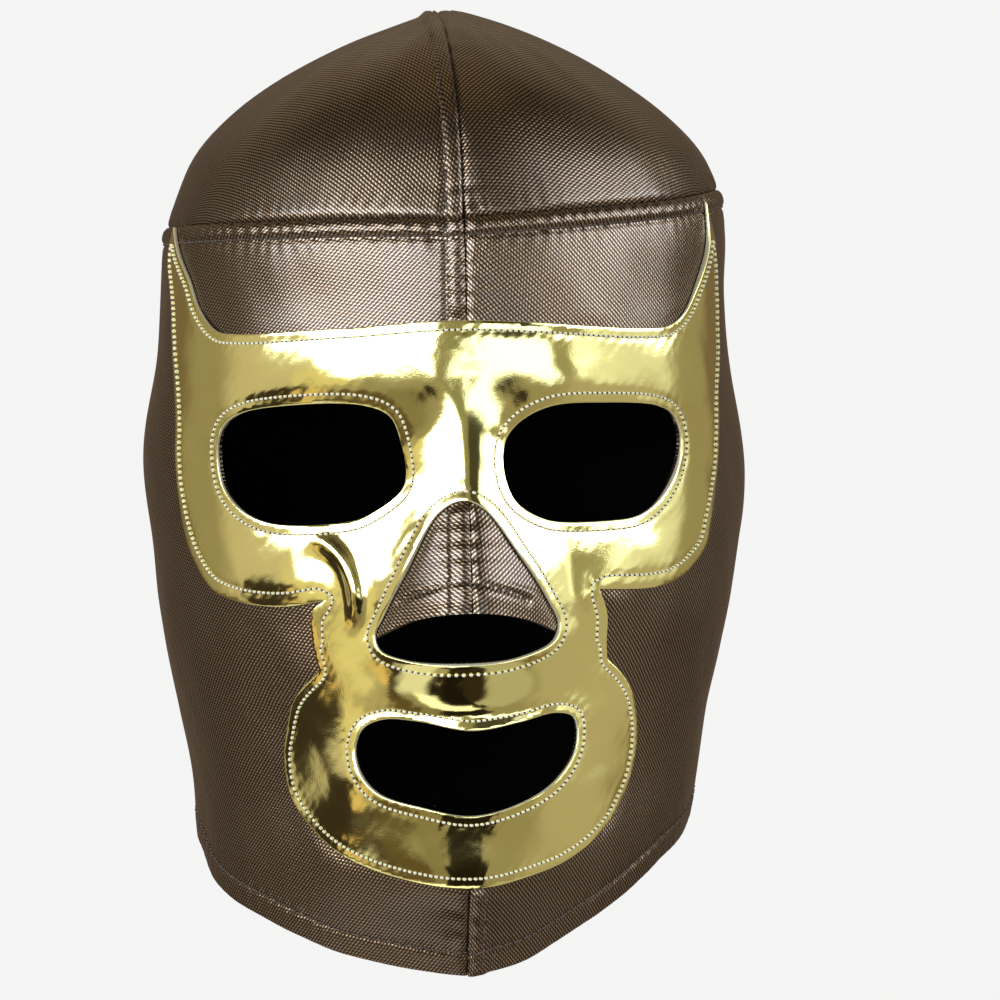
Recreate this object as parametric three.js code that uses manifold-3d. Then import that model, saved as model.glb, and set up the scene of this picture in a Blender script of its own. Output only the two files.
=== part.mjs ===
// Luchador mask: a closed hood of stretch cloth in four panels with a gold foil face trim sewn on top.
// Millimetres, +Z up, the face looks along -Y. The origin is inside the top of the crown, where the
// mask sits on the head. Left and right are the wearer's; the wearer's left is at +X.
import * as THREE from 'three';
import { mergeVertices } from 'three/addons/utils/BufferGeometryUtils.js';
import { TessellateModifier } from 'three/addons/modifiers/TessellateModifier.js';
import Module from 'manifold-3d';

const wasm = await Module();
wasm.setup();

// Driving sizes of the hood
const HOOD_HEIGHT = 289;        // inside of the crown to the front point of the neck hem
const HOOD_WIDTH = 178;         // widest, between the insides over the ears
const FRONT_DEPTH = 98;         // origin to the inside of the forehead
const BACK_DEPTH = 101;         // origin to the inside of the back of the head
const CLOTH_WALL = 1.4;
const TRIM_WALL = 1.0;
const SEAM_GAP = 0.3;           // clearance between neighbouring pieces
const EDGE_SETBACK = 0.8;       // the cloth ends this far behind the trim's cut edge
const HEM_DEPTH = 7;            // height of the turned-in neck hem
const HEM_FOLD = 1.1;           // what the turned-in layer adds on the inside

// Seams
const FOREHEAD_SEAM_DROP = 66;  // crown to the forehead seam in the middle of the face
const SIDE_SEAM_TURN = 100;     // degrees from the middle of the face to the seams behind the ears

// Sizes of the face, laid out flat: across is along the cloth, down is below the crown
const EYE_WIDTH = 68.5;
const EYE_HEIGHT = 36;
const EYE_DROP = 137;
const EYE_RIGHT_ACROSS = 51.6;
const EYE_LEFT_ACROSS = 43.7;
const NOSE_WIDTH = 54.4;
const NOSE_HEIGHT = 45.6;
const NOSE_DROP = 148;
const MOUTH_WIDTH = 75.4;
const MOUTH_HEIGHT = 29;
const MOUTH_DROP = 225.4;
const TRIM_REACH = 130;         // middle of the face to the tip of a horn
const TRIM_HEIGHT = 201;
const TRIM_DROP = 60;           // crown to the tip of the higher horn

// Relief of the worn face and ears, pushed out from the plain hood
const EAR_LIFT = 4.6;
const NOSE_LIFT = 20;
const NOSE_SPREAD = 18;         // sideways spread of the nose at its tip
const BROW_LIFT = 3;
const EYE_HOLLOW = 5;
const CHEEK_LIFT = 3;
const JAW_HOLLOW = 3;
const LIP_LIFT = 5;
const CHIN_LIFT = 4;

// Horizontal sections from the crown down: drop is a share of the height, right and left are shares of
// half the width, front and back are shares of the two depths
const SECTIONS = [
  { drop: 0.000, right: 0.000, left: 0.000, front: 0.000, back: 0.000 },
  { drop: 0.0067, right: 0.091, left: 0.156, front: 0.250, back: 0.260 },
  { drop: 0.0187, right: 0.199, left: 0.273, front: 0.430, back: 0.450 },
  { drop: 0.039, right: 0.369, left: 0.420, front: 0.590, back: 0.610 },
  { drop: 0.073, right: 0.577, left: 0.618, front: 0.750, back: 0.775 },
  { drop: 0.111, right: 0.732, left: 0.789, front: 0.855, back: 0.882 },
  { drop: 0.154, right: 0.856, left: 0.910, front: 0.920, back: 0.942 },
  { drop: 0.197, right: 0.920, left: 0.960, front: 0.958, back: 0.974 },
  { drop: 0.241, right: 0.955, left: 0.970, front: 0.985, back: 0.995 },
  { drop: 0.306, right: 0.972, left: 0.967, front: 1.000, back: 1.000 },
  { drop: 0.392, right: 0.990, left: 0.977, front: 1.000, back: 0.990 },
  { drop: 0.457, right: 0.996, left: 0.994, front: 0.965, back: 0.970 },
  { drop: 0.550, right: 0.985, left: 0.997, front: 0.930, back: 0.930 },
  { drop: 0.630, right: 0.985, left: 0.980, front: 0.930, back: 0.860 },
  { drop: 0.675, right: 0.970, left: 0.948, front: 0.935, back: 0.820 },
  { drop: 0.738, right: 0.923, left: 0.904, front: 0.940, back: 0.770 },
  { drop: 0.810, right: 0.885, left: 0.862, front: 0.935, back: 0.723 },
  { drop: 0.893, right: 0.860, left: 0.815, front: 0.900, back: 0.693 },
  { drop: 0.968, right: 0.840, left: 0.785, front: 0.830, back: 0.683 },
  { drop: 1.038, right: 0.820, left: 0.760, front: 0.765, back: 0.683 },
];

// Neck hem round each side: turn is in degrees from the middle of the face, right and left are the
// drops as shares of the height
const NECK_HEM = [
  { turn: 0, right: 1.000, left: 1.000 },
  { turn: 14, right: 0.992, left: 0.986 },
  { turn: 28, right: 0.979, left: 0.954 },
  { turn: 42, right: 0.960, left: 0.924 },
  { turn: 56, right: 0.941, left: 0.897 },
  { turn: 70, right: 0.920, left: 0.877 },
  { turn: 84, right: 0.886, left: 0.856 },
  { turn: 110, right: 0.872, left: 0.864 },
  { turn: 145, right: 0.891, left: 0.890 },
  { turn: 180, right: 0.905, left: 0.905 },
];

// Forehead seam: turn in degrees, right and left are shares of its drop in the middle
const FOREHEAD_SEAM = [
  { turn: 0, right: 0.995, left: 0.990 },
  { turn: 20, right: 0.990, left: 0.958 },
  { turn: 45, right: 0.993, left: 0.912 },
  { turn: 75, right: 0.997, left: 0.850 },
  { turn: 180, right: 0.980, left: 0.840 },
];

// Swells and hollows of the face, mirrored: side and wide are the place and the spread as shares of half
// the width, drop and tall are the same as shares of the height
const FACE_FORMS = [
  { lift: BROW_LIFT, side: 0.34, wide: 0.29, drop: 0.401, tall: 0.048 },
  { lift: -EYE_HOLLOW, side: 0.40, wide: 0.21, drop: 0.498, tall: 0.059 },
  { lift: CHEEK_LIFT, side: 0.54, wide: 0.22, drop: 0.595, tall: 0.069 },
  { lift: -JAW_HOLLOW, side: 0.56, wide: 0.20, drop: 0.779, tall: 0.090 },
  { lift: LIP_LIFT, side: 0.00, wide: 0.38, drop: 0.789, tall: 0.083 },
  { lift: CHIN_LIFT, side: 0.00, wide: 0.27, drop: 0.907, tall: 0.052 },
];
// The nose from its root to its tip, and from under the tip to the lip, as shares of the height
const NOSE_LINE = { root: 0.374, tip: 0.623, under: 0.644, lip: 0.734 };
// The ears, turn and wide in degrees
const EAR_FORM = { turn: 96, wide: 18, drop: 0.488, tall: 0.087 };

// Eye openings: across and down are shares of half the opening's width and height
const EYE_RIGHT_RIM = [
  { across: -1.00, down: -0.23 },
  { across: -0.94, down: -0.57 },
  { across: -0.72, down: -0.82 },
  { across: -0.18, down: -0.98 },
  { across: 0.58, down: -0.99 },
  { across: 0.83, down: -0.81 },
  { across: 0.93, down: -0.41 },
  { across: 1.00, down: 0.18 },
  { across: 0.95, down: 0.45 },
  { across: 0.58, down: 0.88 },
  { across: 0.34, down: 0.98 },
  { across: -0.31, down: 0.99 },
  { across: -0.67, down: 0.77 },
  { across: -0.93, down: 0.35 },
];
const EYE_LEFT_RIM = [
  { across: -1.00, down: 0.12 },
  { across: -0.96, down: -0.35 },
  { across: -0.80, down: -0.70 },
  { across: -0.51, down: -0.95 },
  { across: 0.04, down: -0.99 },
  { across: 0.68, down: -0.90 },
  { across: 0.91, down: -0.72 },
  { across: 1.00, down: -0.40 },
  { across: 0.95, down: 0.02 },
  { across: 0.70, down: 0.58 },
  { across: 0.41, down: 0.91 },
  { across: 0.04, down: 1.00 },
  { across: -0.63, down: 0.94 },
  { across: -0.91, down: 0.63 },
];

// Rounded triangle that the trim leaves open over the nose: across is a share of half its width, down
// is a share of its height
const NOSE_RIM = [
  { across: -0.05, down: 0.00 },
  { across: 0.12, down: 0.05 },
  { across: 0.45, down: 0.33 },
  { across: 0.82, down: 0.63 },
  { across: 1.00, down: 0.80 },
  { across: 0.93, down: 0.90 },
  { across: 0.48, down: 0.98 },
  { across: -0.05, down: 1.00 },
  { across: -0.63, down: 1.00 },
  { across: -0.94, down: 0.95 },
  { across: -1.00, down: 0.86 },
  { across: -0.89, down: 0.74 },
  { across: -0.62, down: 0.47 },
  { across: -0.27, down: 0.08 },
];

// Opening in the cloth under the nose, in the same shares: an arch above, the trim's rim below
const NOSTRIL_ARCH = [
  { across: -1.02, down: 0.87 },
  { across: -0.45, down: 0.73 },
  { across: 0.03, down: 0.69 },
  { across: 0.52, down: 0.74 },
  { across: 1.00, down: 0.84 },
];
const NOSTRIL_FLOOR = [
  { across: 1.00, down: 0.84 },
  { across: 0.94, down: 0.90 },
  { across: 0.48, down: 0.98 },
  { across: -0.05, down: 1.00 },
  { across: -0.63, down: 1.00 },
  { across: -0.96, down: 0.95 },
  { across: -1.02, down: 0.87 },
];

// Mouth opening, in shares of half its width and height
const MOUTH_RIM = [
  { across: -1.00, down: -0.30 },
  { across: -0.92, down: -0.72 },
  { across: -0.72, down: -0.92 },
  { across: -0.43, down: -0.88 },
  { across: 0.02, down: -0.68 },
  { across: 0.45, down: -0.84 },
  { across: 0.77, down: -1.00 },
  { across: 0.97, down: -0.86 },
  { across: 0.99, down: -0.26 },
  { across: 0.80, down: 0.32 },
  { across: 0.46, down: 0.76 },
  { across: 0.02, down: 1.00 },
  { across: -0.40, down: 0.83 },
  { across: -0.80, down: 0.55 },
  { across: -0.96, down: 0.15 },
];

// Outer edge of the trim, one smooth stretch from corner to corner: across is a share of its reach,
// down is a share of its height
const TRIM_BROW = [
  { across: -0.95, down: 0.030 },
  { across: -0.88, down: 0.072 },
  { across: -0.81, down: 0.111 },
  { across: -0.76, down: 0.151 },
  { across: -0.68, down: 0.186 },
  { across: -0.60, down: 0.192 },
  { across: -0.29, down: 0.185 },
  { across: 0.00, down: 0.175 },
  { across: 0.46, down: 0.189 },
  { across: 0.58, down: 0.184 },
  { across: 0.65, down: 0.162 },
  { across: 0.72, down: 0.111 },
  { across: 0.77, down: 0.061 },
  { across: 0.78, down: 0.000 },
];
const TRIM_LEFT_CHEEK = [
  { across: 0.78, down: 0.000 },
  { across: 0.82, down: 0.061 },
  { across: 0.85, down: 0.123 },
  { across: 0.85, down: 0.220 },
  { across: 0.81, down: 0.300 },
  { across: 0.77, down: 0.411 },
  { across: 0.73, down: 0.463 },
  { across: 0.69, down: 0.516 },
  { across: 0.61, down: 0.550 },
  { across: 0.54, down: 0.565 },
  { across: 0.46, down: 0.571 },
  { across: 0.32, down: 0.570 },
];
const TRIM_LEFT_NOSE = [
  { across: 0.32, down: 0.570 },
  { across: 0.35, down: 0.607 },
  { across: 0.36, down: 0.647 },
  { across: 0.37, down: 0.674 },
];
const TRIM_MOUTH = [
  { across: 0.37, down: 0.674 },
  { across: 0.44, down: 0.705 },
  { across: 0.49, down: 0.745 },
  { across: 0.52, down: 0.799 },
  { across: 0.51, down: 0.855 },
  { across: 0.46, down: 0.900 },
  { across: 0.39, down: 0.933 },
  { across: 0.28, down: 0.968 },
  { across: 0.16, down: 0.988 },
  { across: 0.03, down: 1.000 },
  { across: -0.12, down: 0.994 },
  { across: -0.27, down: 0.974 },
  { across: -0.38, down: 0.948 },
  { across: -0.46, down: 0.914 },
  { across: -0.52, down: 0.872 },
  { across: -0.53, down: 0.820 },
  { across: -0.50, down: 0.770 },
  { across: -0.46, down: 0.728 },
  { across: -0.37, down: 0.686 },
];
const TRIM_RIGHT_NOSE = [
  { across: -0.37, down: 0.686 },
  { across: -0.38, down: 0.641 },
  { across: -0.37, down: 0.596 },
  { across: -0.34, down: 0.582 },
];
const TRIM_RIGHT_CHEEK = [
  { across: -0.34, down: 0.582 },
  { across: -0.44, down: 0.591 },
  { across: -0.52, down: 0.591 },
  { across: -0.61, down: 0.584 },
  { across: -0.69, down: 0.569 },
  { across: -0.77, down: 0.528 },
  { across: -0.82, down: 0.480 },
  { across: -0.85, down: 0.397 },
  { across: -0.85, down: 0.320 },
  { across: -0.88, down: 0.240 },
  { across: -0.92, down: 0.150 },
  { across: -0.97, down: 0.081 },
  { across: -0.95, down: 0.030 },
];

// Facets of the cloth: degrees of its columns, and its rows as shares of the way down to the hem
const FRONT_TURNS = [0, 4.5, 9, 14.5, 22, 31, 41, 52, 64, 76, 89];
const BACK_TURNS = [103, 119, 135, 151, 166];
const CLOTH_ROWS = [
  0.005, 0.025, 0.060, 0.110, 0.170, 0.232, 0.295, 0.355, 0.413, 0.470, 0.525, 0.575, 0.618, 0.648,
  0.676, 0.710, 0.760, 0.820, 0.890,
];
const HEM_STEP = 1;             // height over which the hem's fold comes in

// Cutters: how far one reaches inside and outside the hood, and the lengths of its edges
const DIE_IN = 3.2;
const DIE_OUT = 4.6;
const DIE_EDGE = 9;
const DIE_SPLITS = 60;          // more rounds of halving than the longest edge needs
const RIM_STEP = 9;
const NORMAL_STEP = 0.25;       // degrees and millimetres to either side that give the hood's normal

const GIRTH = Math.PI * (HOOD_WIDTH + FRONT_DEPTH + BACK_DEPTH) / 2;
const turnAt = (across) => across * 360 / GIRTH;
const acrossAt = (turn) => turn * GIRTH / 360;

// Value of a column between a table's rows, on a smooth curve through them
function columnAt(rows, key, column, place) {
  const last = rows.length - 1;
  let i = 0;
  while (i < last - 1 && place > key(rows[i + 1])) i += 1;
  const slope = (a, b) => (rows[b][column] - rows[a][column]) / (key(rows[b]) - key(rows[a]));
  const step = key(rows[i + 1]) - key(rows[i]);
  const middle = slope(i, i + 1);
  const start = i > 0 ? (slope(i - 1, i) + middle) / 2 : middle;
  const end = i < last - 1 ? (middle + slope(i + 1, i + 2)) / 2 : middle;
  const s = (place - key(rows[i])) / step;
  return rows[i][column] * (1 + s * s * (2 * s - 3)) + rows[i + 1][column] * s * s * (3 - 2 * s)
    + step * s * (1 - s) * (start * (1 - s) - end * s);
}

// The sections bunch up at the crown, so they are read by the root of the drop, which rounds it
const sectionAt = (column, drop) =>
  columnAt(SECTIONS, (row) => Math.sqrt(row.drop), column, Math.sqrt(Math.max(drop, 0) / HOOD_HEIGHT));
const sideOf = (turn) => (turn < 0 ? 'right' : 'left');
const hemDrop = (turn) =>
  HOOD_HEIGHT * columnAt(NECK_HEM, (row) => row.turn, sideOf(turn), Math.abs(turn));
const foreheadDrop = (turn) =>
  FOREHEAD_SEAM_DROP * columnAt(FOREHEAD_SEAM, (row) => row.turn, sideOf(turn), Math.abs(turn));

const bell = (value, middle, spread) => Math.exp(-(((value - middle) / spread) ** 2));
const ease = (value, from, to) => THREE.MathUtils.smoothstep(value, from, to);

// How far the ears, the nose and the face push the cloth out
const earLift = (turn, down) =>
  EAR_LIFT * bell(Math.abs(turn), EAR_FORM.turn, EAR_FORM.wide) * bell(down, EAR_FORM.drop, EAR_FORM.tall);

function noseLift(x, down) {
  const spread = NOSE_SPREAD * (1 + ease(down, NOSE_LINE.root, NOSE_LINE.tip)) / 2;
  const rise = ease(down, NOSE_LINE.root, NOSE_LINE.tip);
  const fall = ease(down, NOSE_LINE.under, NOSE_LINE.lip);
  return NOSE_LIFT * rise * (1 - fall) * bell(x, 0, spread);
}

function relief(x, turn, drop) {
  const down = drop / HOOD_HEIGHT;
  const ear = earLift(turn, down);
  if (Math.abs(turn) >= SIDE_SEAM_TURN) return ear;
  const side = Math.abs(x) / (HOOD_WIDTH / 2);
  const formLift = (form) => form.lift * bell(side, form.side, form.wide) * bell(down, form.drop, form.tall);
  return ear + noseLift(x, down) + FACE_FORMS.reduce((sum, form) => sum + formLift(form), 0);
}

// Point on the inside of the hood
function skin(turn, drop) {
  const angle = THREE.MathUtils.degToRad(turn);
  const sine = Math.sin(angle);
  const cosine = Math.cos(angle);
  const x = sine * sectionAt(sideOf(turn), drop) * HOOD_WIDTH / 2;
  const depth = cosine > 0 ? sectionAt('front', drop) * FRONT_DEPTH : sectionAt('back', drop) * BACK_DEPTH;
  const lift = relief(x, turn, drop);
  return new THREE.Vector3(x + lift * sine, -(depth + lift) * cosine, -drop);
}

// The same point moved out along the hood's normal
function offset(turn, drop, out) {
  if (drop <= 0) return new THREE.Vector3(0, 0, out);
  const dropStep = Math.min(NORMAL_STEP, drop / 2);
  const round = skin(turn + NORMAL_STEP, drop).sub(skin(turn - NORMAL_STEP, drop));
  const along = skin(turn, drop + dropStep).sub(skin(turn, drop - dropStep));
  return skin(turn, drop).addScaledVector(along.cross(round).normalize(), out);
}

const ALL_TURNS = [
  ...FRONT_TURNS.slice(1).map((turn) => -turn).reverse(),
  ...FRONT_TURNS,
  ...BACK_TURNS,
  180,
  ...BACK_TURNS.map((turn) => -turn).reverse(),
];

// Drops of one column of the cloth, from just below the crown to the hem
function columnDrops(turn) {
  const hem = hemDrop(turn);
  return [...CLOTH_ROWS.map((share) => share * hem), hem - HEM_DEPTH - HEM_STEP, hem - HEM_DEPTH, hem];
}

// Closed hood-shaped shell between two distances out from the hood, from the crown to the hem
function shell(inner, outer, hemFold) {
  const positions = [];
  const index = [];
  const columns = ALL_TURNS.length;
  const rows = columnDrops(0).length;
  for (const out of [inner, outer]) {
    positions.push(0, 0, out);
    for (const turn of ALL_TURNS) {
      columnDrops(turn).forEach((drop, row) => {
        const fold = out === inner && row >= rows - 2 ? hemFold : 0;
        positions.push(...offset(turn, drop, out - fold));
      });
    }
  }
  const layer = 1 + columns * rows;
  const at = (side, column, row) => side * layer + 1 + (column % columns) * rows + row;
  const quad = (a, b, c, d) => index.push(a, b, c, a, c, d);
  for (let column = 0; column < columns; column += 1) {
    const next = column + 1;
    index.push(layer, at(1, column, 0), at(1, next, 0), 0, at(0, next, 0), at(0, column, 0));
    for (let row = 0; row < rows - 1; row += 1) {
      quad(at(1, column, row), at(1, column, row + 1), at(1, next, row + 1), at(1, next, row));
      quad(at(0, column, row), at(0, next, row), at(0, next, row + 1), at(0, column, row + 1));
    }
    const end = rows - 1;
    quad(at(1, column, end), at(0, column, end), at(0, next, end), at(1, next, end));
  }
  const geometry = new THREE.BufferGeometry();
  geometry.setAttribute('position', new THREE.Float32BufferAttribute(positions, 3));
  geometry.setIndex(index);
  return geometry;
}

function solidOf(geometry) {
  const bare = geometry.clone();
  bare.deleteAttribute('normal');
  bare.deleteAttribute('uv');
  const merged = mergeVertices(bare);
  return new wasm.Manifold(new wasm.Mesh({
    numProp: 3,
    vertProperties: new Float32Array(merged.attributes.position.array),
    triVerts: new Uint32Array(merged.index.array),
  }));
}

// Smooth open stretch or closed loop through flat points
function smoothStretch(points, closed) {
  const curve = new THREE.CatmullRomCurve3(points.map(([x, y]) => new THREE.Vector3(x, y, 0)), closed);
  const pieces = Math.max(3, Math.round(curve.getLength() / RIM_STEP));
  const samples = curve.getSpacedPoints(pieces).map((point) => new THREE.Vector2(point.x, point.y));
  samples.pop();
  return samples;
}

// Cutter over a flat outline, wrapped round the hood and reaching through the cloth and the trim
function wrappedDie(outline) {
  const flat = new THREE.ExtrudeGeometry(new THREE.Shape(outline), {
    depth: DIE_IN + DIE_OUT,
    bevelEnabled: false,
    steps: 1,
  });
  flat.deleteAttribute('normal');
  flat.deleteAttribute('uv');
  const fine = new TessellateModifier(DIE_EDGE, DIE_SPLITS).modify(flat);
  const places = fine.attributes.position;
  for (let i = 0; i < places.count; i += 1) {
    const place = offset(turnAt(places.getX(i)), -places.getY(i), places.getZ(i) - DIE_IN);
    places.setXYZ(i, place.x, place.y, place.z);
  }
  return solidOf(fine);
}

// Flat points of an opening's rim, grown on every side
const rimPoints = (rows, middle, drop, halfWidth, height, grow) => rows.map((row) => [
  middle + row.across * (halfWidth + grow),
  -(drop + row.down * (height + grow)),
]);
const eyeDie = (rows, middle, grow) =>
  wrappedDie(smoothStretch(rimPoints(rows, middle, EYE_DROP, EYE_WIDTH / 2, EYE_HEIGHT / 2, grow), true));
const mouthDie = (grow) =>
  wrappedDie(smoothStretch(rimPoints(MOUTH_RIM, 0, MOUTH_DROP, MOUTH_WIDTH / 2, MOUTH_HEIGHT / 2, grow), true));
const noseDie = () =>
  wrappedDie(smoothStretch(rimPoints(NOSE_RIM, 0, NOSE_DROP, NOSE_WIDTH / 2, NOSE_HEIGHT, 0), true));
const nostrilDie = (grow) => wrappedDie([NOSTRIL_ARCH, NOSTRIL_FLOOR].flatMap((rows) =>
  smoothStretch(rimPoints(rows, 0, NOSE_DROP, NOSE_WIDTH / 2, NOSE_HEIGHT, grow), false)));

function trimDie() {
  const stretches = [TRIM_BROW, TRIM_LEFT_CHEEK, TRIM_LEFT_NOSE, TRIM_MOUTH, TRIM_RIGHT_NOSE, TRIM_RIGHT_CHEEK];
  return wrappedDie(stretches.flatMap((rows) =>
    smoothStretch(rimPoints(rows, 0, TRIM_DROP, TRIM_REACH, TRIM_HEIGHT, 0), false)));
}

// Region of the two face panels: below the forehead seam and in front of the side seams
function faceDie(grow) {
  const reach = acrossAt(SIDE_SEAM_TURN) + grow;
  const below = -(HOOD_HEIGHT + 2 * HEM_DEPTH);
  const outline = [new THREE.Vector2(-reach, below), new THREE.Vector2(reach, below)];
  const pieces = 2 * Math.round(reach / RIM_STEP / 2);
  for (let i = 0; i <= pieces; i += 1) {
    const across = reach * (1 - 2 * i / pieces);
    outline.push(new THREE.Vector2(across, grow - foreheadDrop(turnAt(across))));
  }
  return wrappedDie(outline);
}

// Block that holds everything on one side of the middle seam
function sideBlock(side) {
  const size = 2 * HOOD_HEIGHT;
  const block = new THREE.BoxGeometry(size, size, 2 * size);
  block.translate(side * (size + SEAM_GAP) / 2, 0, 0);
  return solidOf(block);
}

function finish(name, solid, material) {
  const mesh = solid.getMesh();
  const geometry = new THREE.BufferGeometry();
  geometry.setAttribute('position', new THREE.BufferAttribute(new Float32Array(mesh.vertProperties), 3));
  geometry.setIndex(new THREE.BufferAttribute(new Uint32Array(mesh.triVerts), 1));
  geometry.computeVertexNormals();
  const piece = new THREE.Mesh(geometry, material);
  piece.name = name;
  return piece;
}

const cloth = (tint) => new THREE.MeshStandardMaterial({ color: tint, metalness: 0.5, roughness: 0.5 });
const faceTint = 0x5e4d3a;
const backTint = 0x54432f;
const foil = new THREE.MeshStandardMaterial({ color: 0xcabb6c, metalness: 0.9, roughness: 0.2 });

const hood = new THREE.Group();
const hoodCloth = solidOf(shell(0, CLOTH_WALL, HEM_FOLD));
const openings = eyeDie(EYE_RIGHT_RIM, -EYE_RIGHT_ACROSS, EDGE_SETBACK)
  .add(eyeDie(EYE_LEFT_RIM, EYE_LEFT_ACROSS, EDGE_SETBACK))
  .add(nostrilDie(EDGE_SETBACK))
  .add(mouthDie(EDGE_SETBACK));
const faceCloth = hoodCloth.intersect(faceDie(-SEAM_GAP / 2)).subtract(openings);
const backCloth = hoodCloth.subtract(faceDie(SEAM_GAP / 2));
for (const [side, name] of [[-1, 'right'], [1, 'left']]) {
  const block = sideBlock(side);
  hood.add(finish(`face_panel_${name}`, faceCloth.intersect(block), cloth(faceTint)));
  hood.add(finish(`back_panel_${name}`, backCloth.intersect(block), cloth(backTint)));
}

const trimInside = CLOTH_WALL + SEAM_GAP;
const faceTrim = solidOf(shell(trimInside, trimInside + TRIM_WALL, 0))
  .intersect(trimDie())
  .subtract(eyeDie(EYE_RIGHT_RIM, -EYE_RIGHT_ACROSS, 0))
  .subtract(eyeDie(EYE_LEFT_RIM, EYE_LEFT_ACROSS, 0))
  .subtract(noseDie())
  .subtract(mouthDie(0));
hood.add(finish('face_trim', faceTrim, foil));

export default hood;
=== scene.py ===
import math

import bpy
import numpy as np
from mathutils import Matrix, Vector
from mathutils.geometry import delaunay_2d_cdt


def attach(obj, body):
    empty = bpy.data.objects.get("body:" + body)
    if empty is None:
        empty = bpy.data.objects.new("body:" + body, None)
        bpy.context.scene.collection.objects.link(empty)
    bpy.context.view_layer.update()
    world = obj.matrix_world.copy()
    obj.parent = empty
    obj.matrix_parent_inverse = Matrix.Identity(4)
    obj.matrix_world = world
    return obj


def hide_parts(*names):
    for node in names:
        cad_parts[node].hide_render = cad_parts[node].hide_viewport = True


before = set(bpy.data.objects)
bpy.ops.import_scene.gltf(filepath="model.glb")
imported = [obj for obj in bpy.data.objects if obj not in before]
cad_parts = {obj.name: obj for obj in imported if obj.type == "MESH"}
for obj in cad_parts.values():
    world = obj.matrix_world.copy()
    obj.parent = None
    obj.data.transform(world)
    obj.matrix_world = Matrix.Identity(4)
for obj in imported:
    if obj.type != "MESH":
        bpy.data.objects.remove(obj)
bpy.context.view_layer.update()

# Luchador mask in metres. +Z is up, the face looks along -Y, the origin is inside the top of the crown.
# Left and right are the wearer's; the wearer's left is at +X. A place on the hood is written flat:
# across is the way round the hood from the middle of the face, drop is the way down from the crown.
MM = 0.001

# Sizes of the hood
HOOD_HEIGHT = 0.289
HOOD_WIDTH = 0.178
FRONT_DEPTH = 0.098
BACK_DEPTH = 0.101
CLOTH_WALL = 1.4 * MM
TRIM_SEAT = 1.5 * MM
TRIM_TOP = 2.6 * MM
SEAM_GAP = 0.1 * MM
EDGE_SETBACK = 0.8 * MM
HEM_DEPTH = 7 * MM
FOREHEAD_SEAM_DROP = 0.066
SIDE_SEAM_TURN = 100
GIRTH = math.pi * (HOOD_WIDTH + FRONT_DEPTH + BACK_DEPTH) / 2
TURN_STEP = 0.25                # degrees, and the drop, over which the hood's slope is measured
DROP_STEP = 0.25 * MM

# Sizes of the face
EYE_WIDTH = 68.5 * MM
EYE_HEIGHT = 36 * MM
EYE_DROP = 137 * MM
EYE_RIGHT_ACROSS = 51.6 * MM
EYE_LEFT_ACROSS = 43.7 * MM
NOSE_WIDTH = 54.4 * MM
NOSE_HEIGHT = 45.6 * MM
NOSE_DROP = 148 * MM
MOUTH_WIDTH = 75.4 * MM
MOUTH_HEIGHT = 29 * MM
MOUTH_DROP = 225.4 * MM
TRIM_REACH = 130 * MM
TRIM_HEIGHT = 201 * MM
TRIM_DROP = 60 * MM

# Relief of the worn face and ears
CROWN_LEAN = -1.9 * MM           # how far the middle seam leans to the wearer's right at the top
CROWN_LEAN_END = 0.052          # drop at which it stands upright again
EAR_LIFT = 4.6 * MM
NOSE_LIFT = 20 * MM
NOSE_SPREAD = 18 * MM

# Horizontal sections: drop as a share of the height, half widths to the right and left as shares of half
# the width, and depths to the front and back as shares of the two depths
SECTIONS = np.array([
    (0.000, 0.000, 0.000, 0.000, 0.000),
    (0.0067, 0.050, 0.128, 0.230, 0.240),
    (0.0187, 0.162, 0.237, 0.410, 0.430),
    (0.039, 0.341, 0.383, 0.580, 0.600),
    (0.073, 0.560, 0.583, 0.745, 0.770),
    (0.111, 0.724, 0.760, 0.852, 0.880),
    (0.154, 0.850, 0.895, 0.920, 0.942),
    (0.197, 0.917, 0.953, 0.958, 0.974),
    (0.241, 0.955, 0.970, 0.985, 0.995),
    (0.306, 0.972, 0.967, 1.000, 1.000),
    (0.392, 0.990, 0.977, 1.000, 0.990),
    (0.457, 0.996, 0.994, 0.965, 0.970),
    (0.550, 0.985, 0.997, 0.930, 0.930),
    (0.630, 0.985, 0.980, 0.930, 0.860),
    (0.675, 0.970, 0.948, 0.935, 0.820),
    (0.738, 0.923, 0.904, 0.940, 0.770),
    (0.810, 0.885, 0.862, 0.935, 0.723),
    (0.893, 0.860, 0.815, 0.900, 0.693),
    (0.968, 0.840, 0.785, 0.830, 0.683),
    (1.038, 0.820, 0.760, 0.765, 0.683),
])
SECTION_PLACES, RIGHT, LEFT, FRONT, BACK = np.sqrt(SECTIONS[:, 0]), *SECTIONS[:, 1:].T

# Neck hem: turn in degrees, then its drop to the right and left as shares of the height
NECK_HEM = np.array([
    (0, 1.000, 1.000),
    (14, 0.992, 0.986),
    (28, 0.979, 0.954),
    (42, 0.960, 0.924),
    (56, 0.941, 0.897),
    (70, 0.920, 0.877),
    (84, 0.886, 0.856),
    (110, 0.872, 0.864),
    (145, 0.891, 0.890),
    (180, 0.905, 0.905),
])

# Forehead seam: turn in degrees, then its drop to the right and left as shares of its middle drop
FOREHEAD_SEAM = np.array([
    (0, 0.995, 0.990),
    (20, 0.990, 0.958),
    (45, 0.993, 0.912),
    (75, 0.997, 0.850),
    (180, 0.980, 0.840),
])

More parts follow.
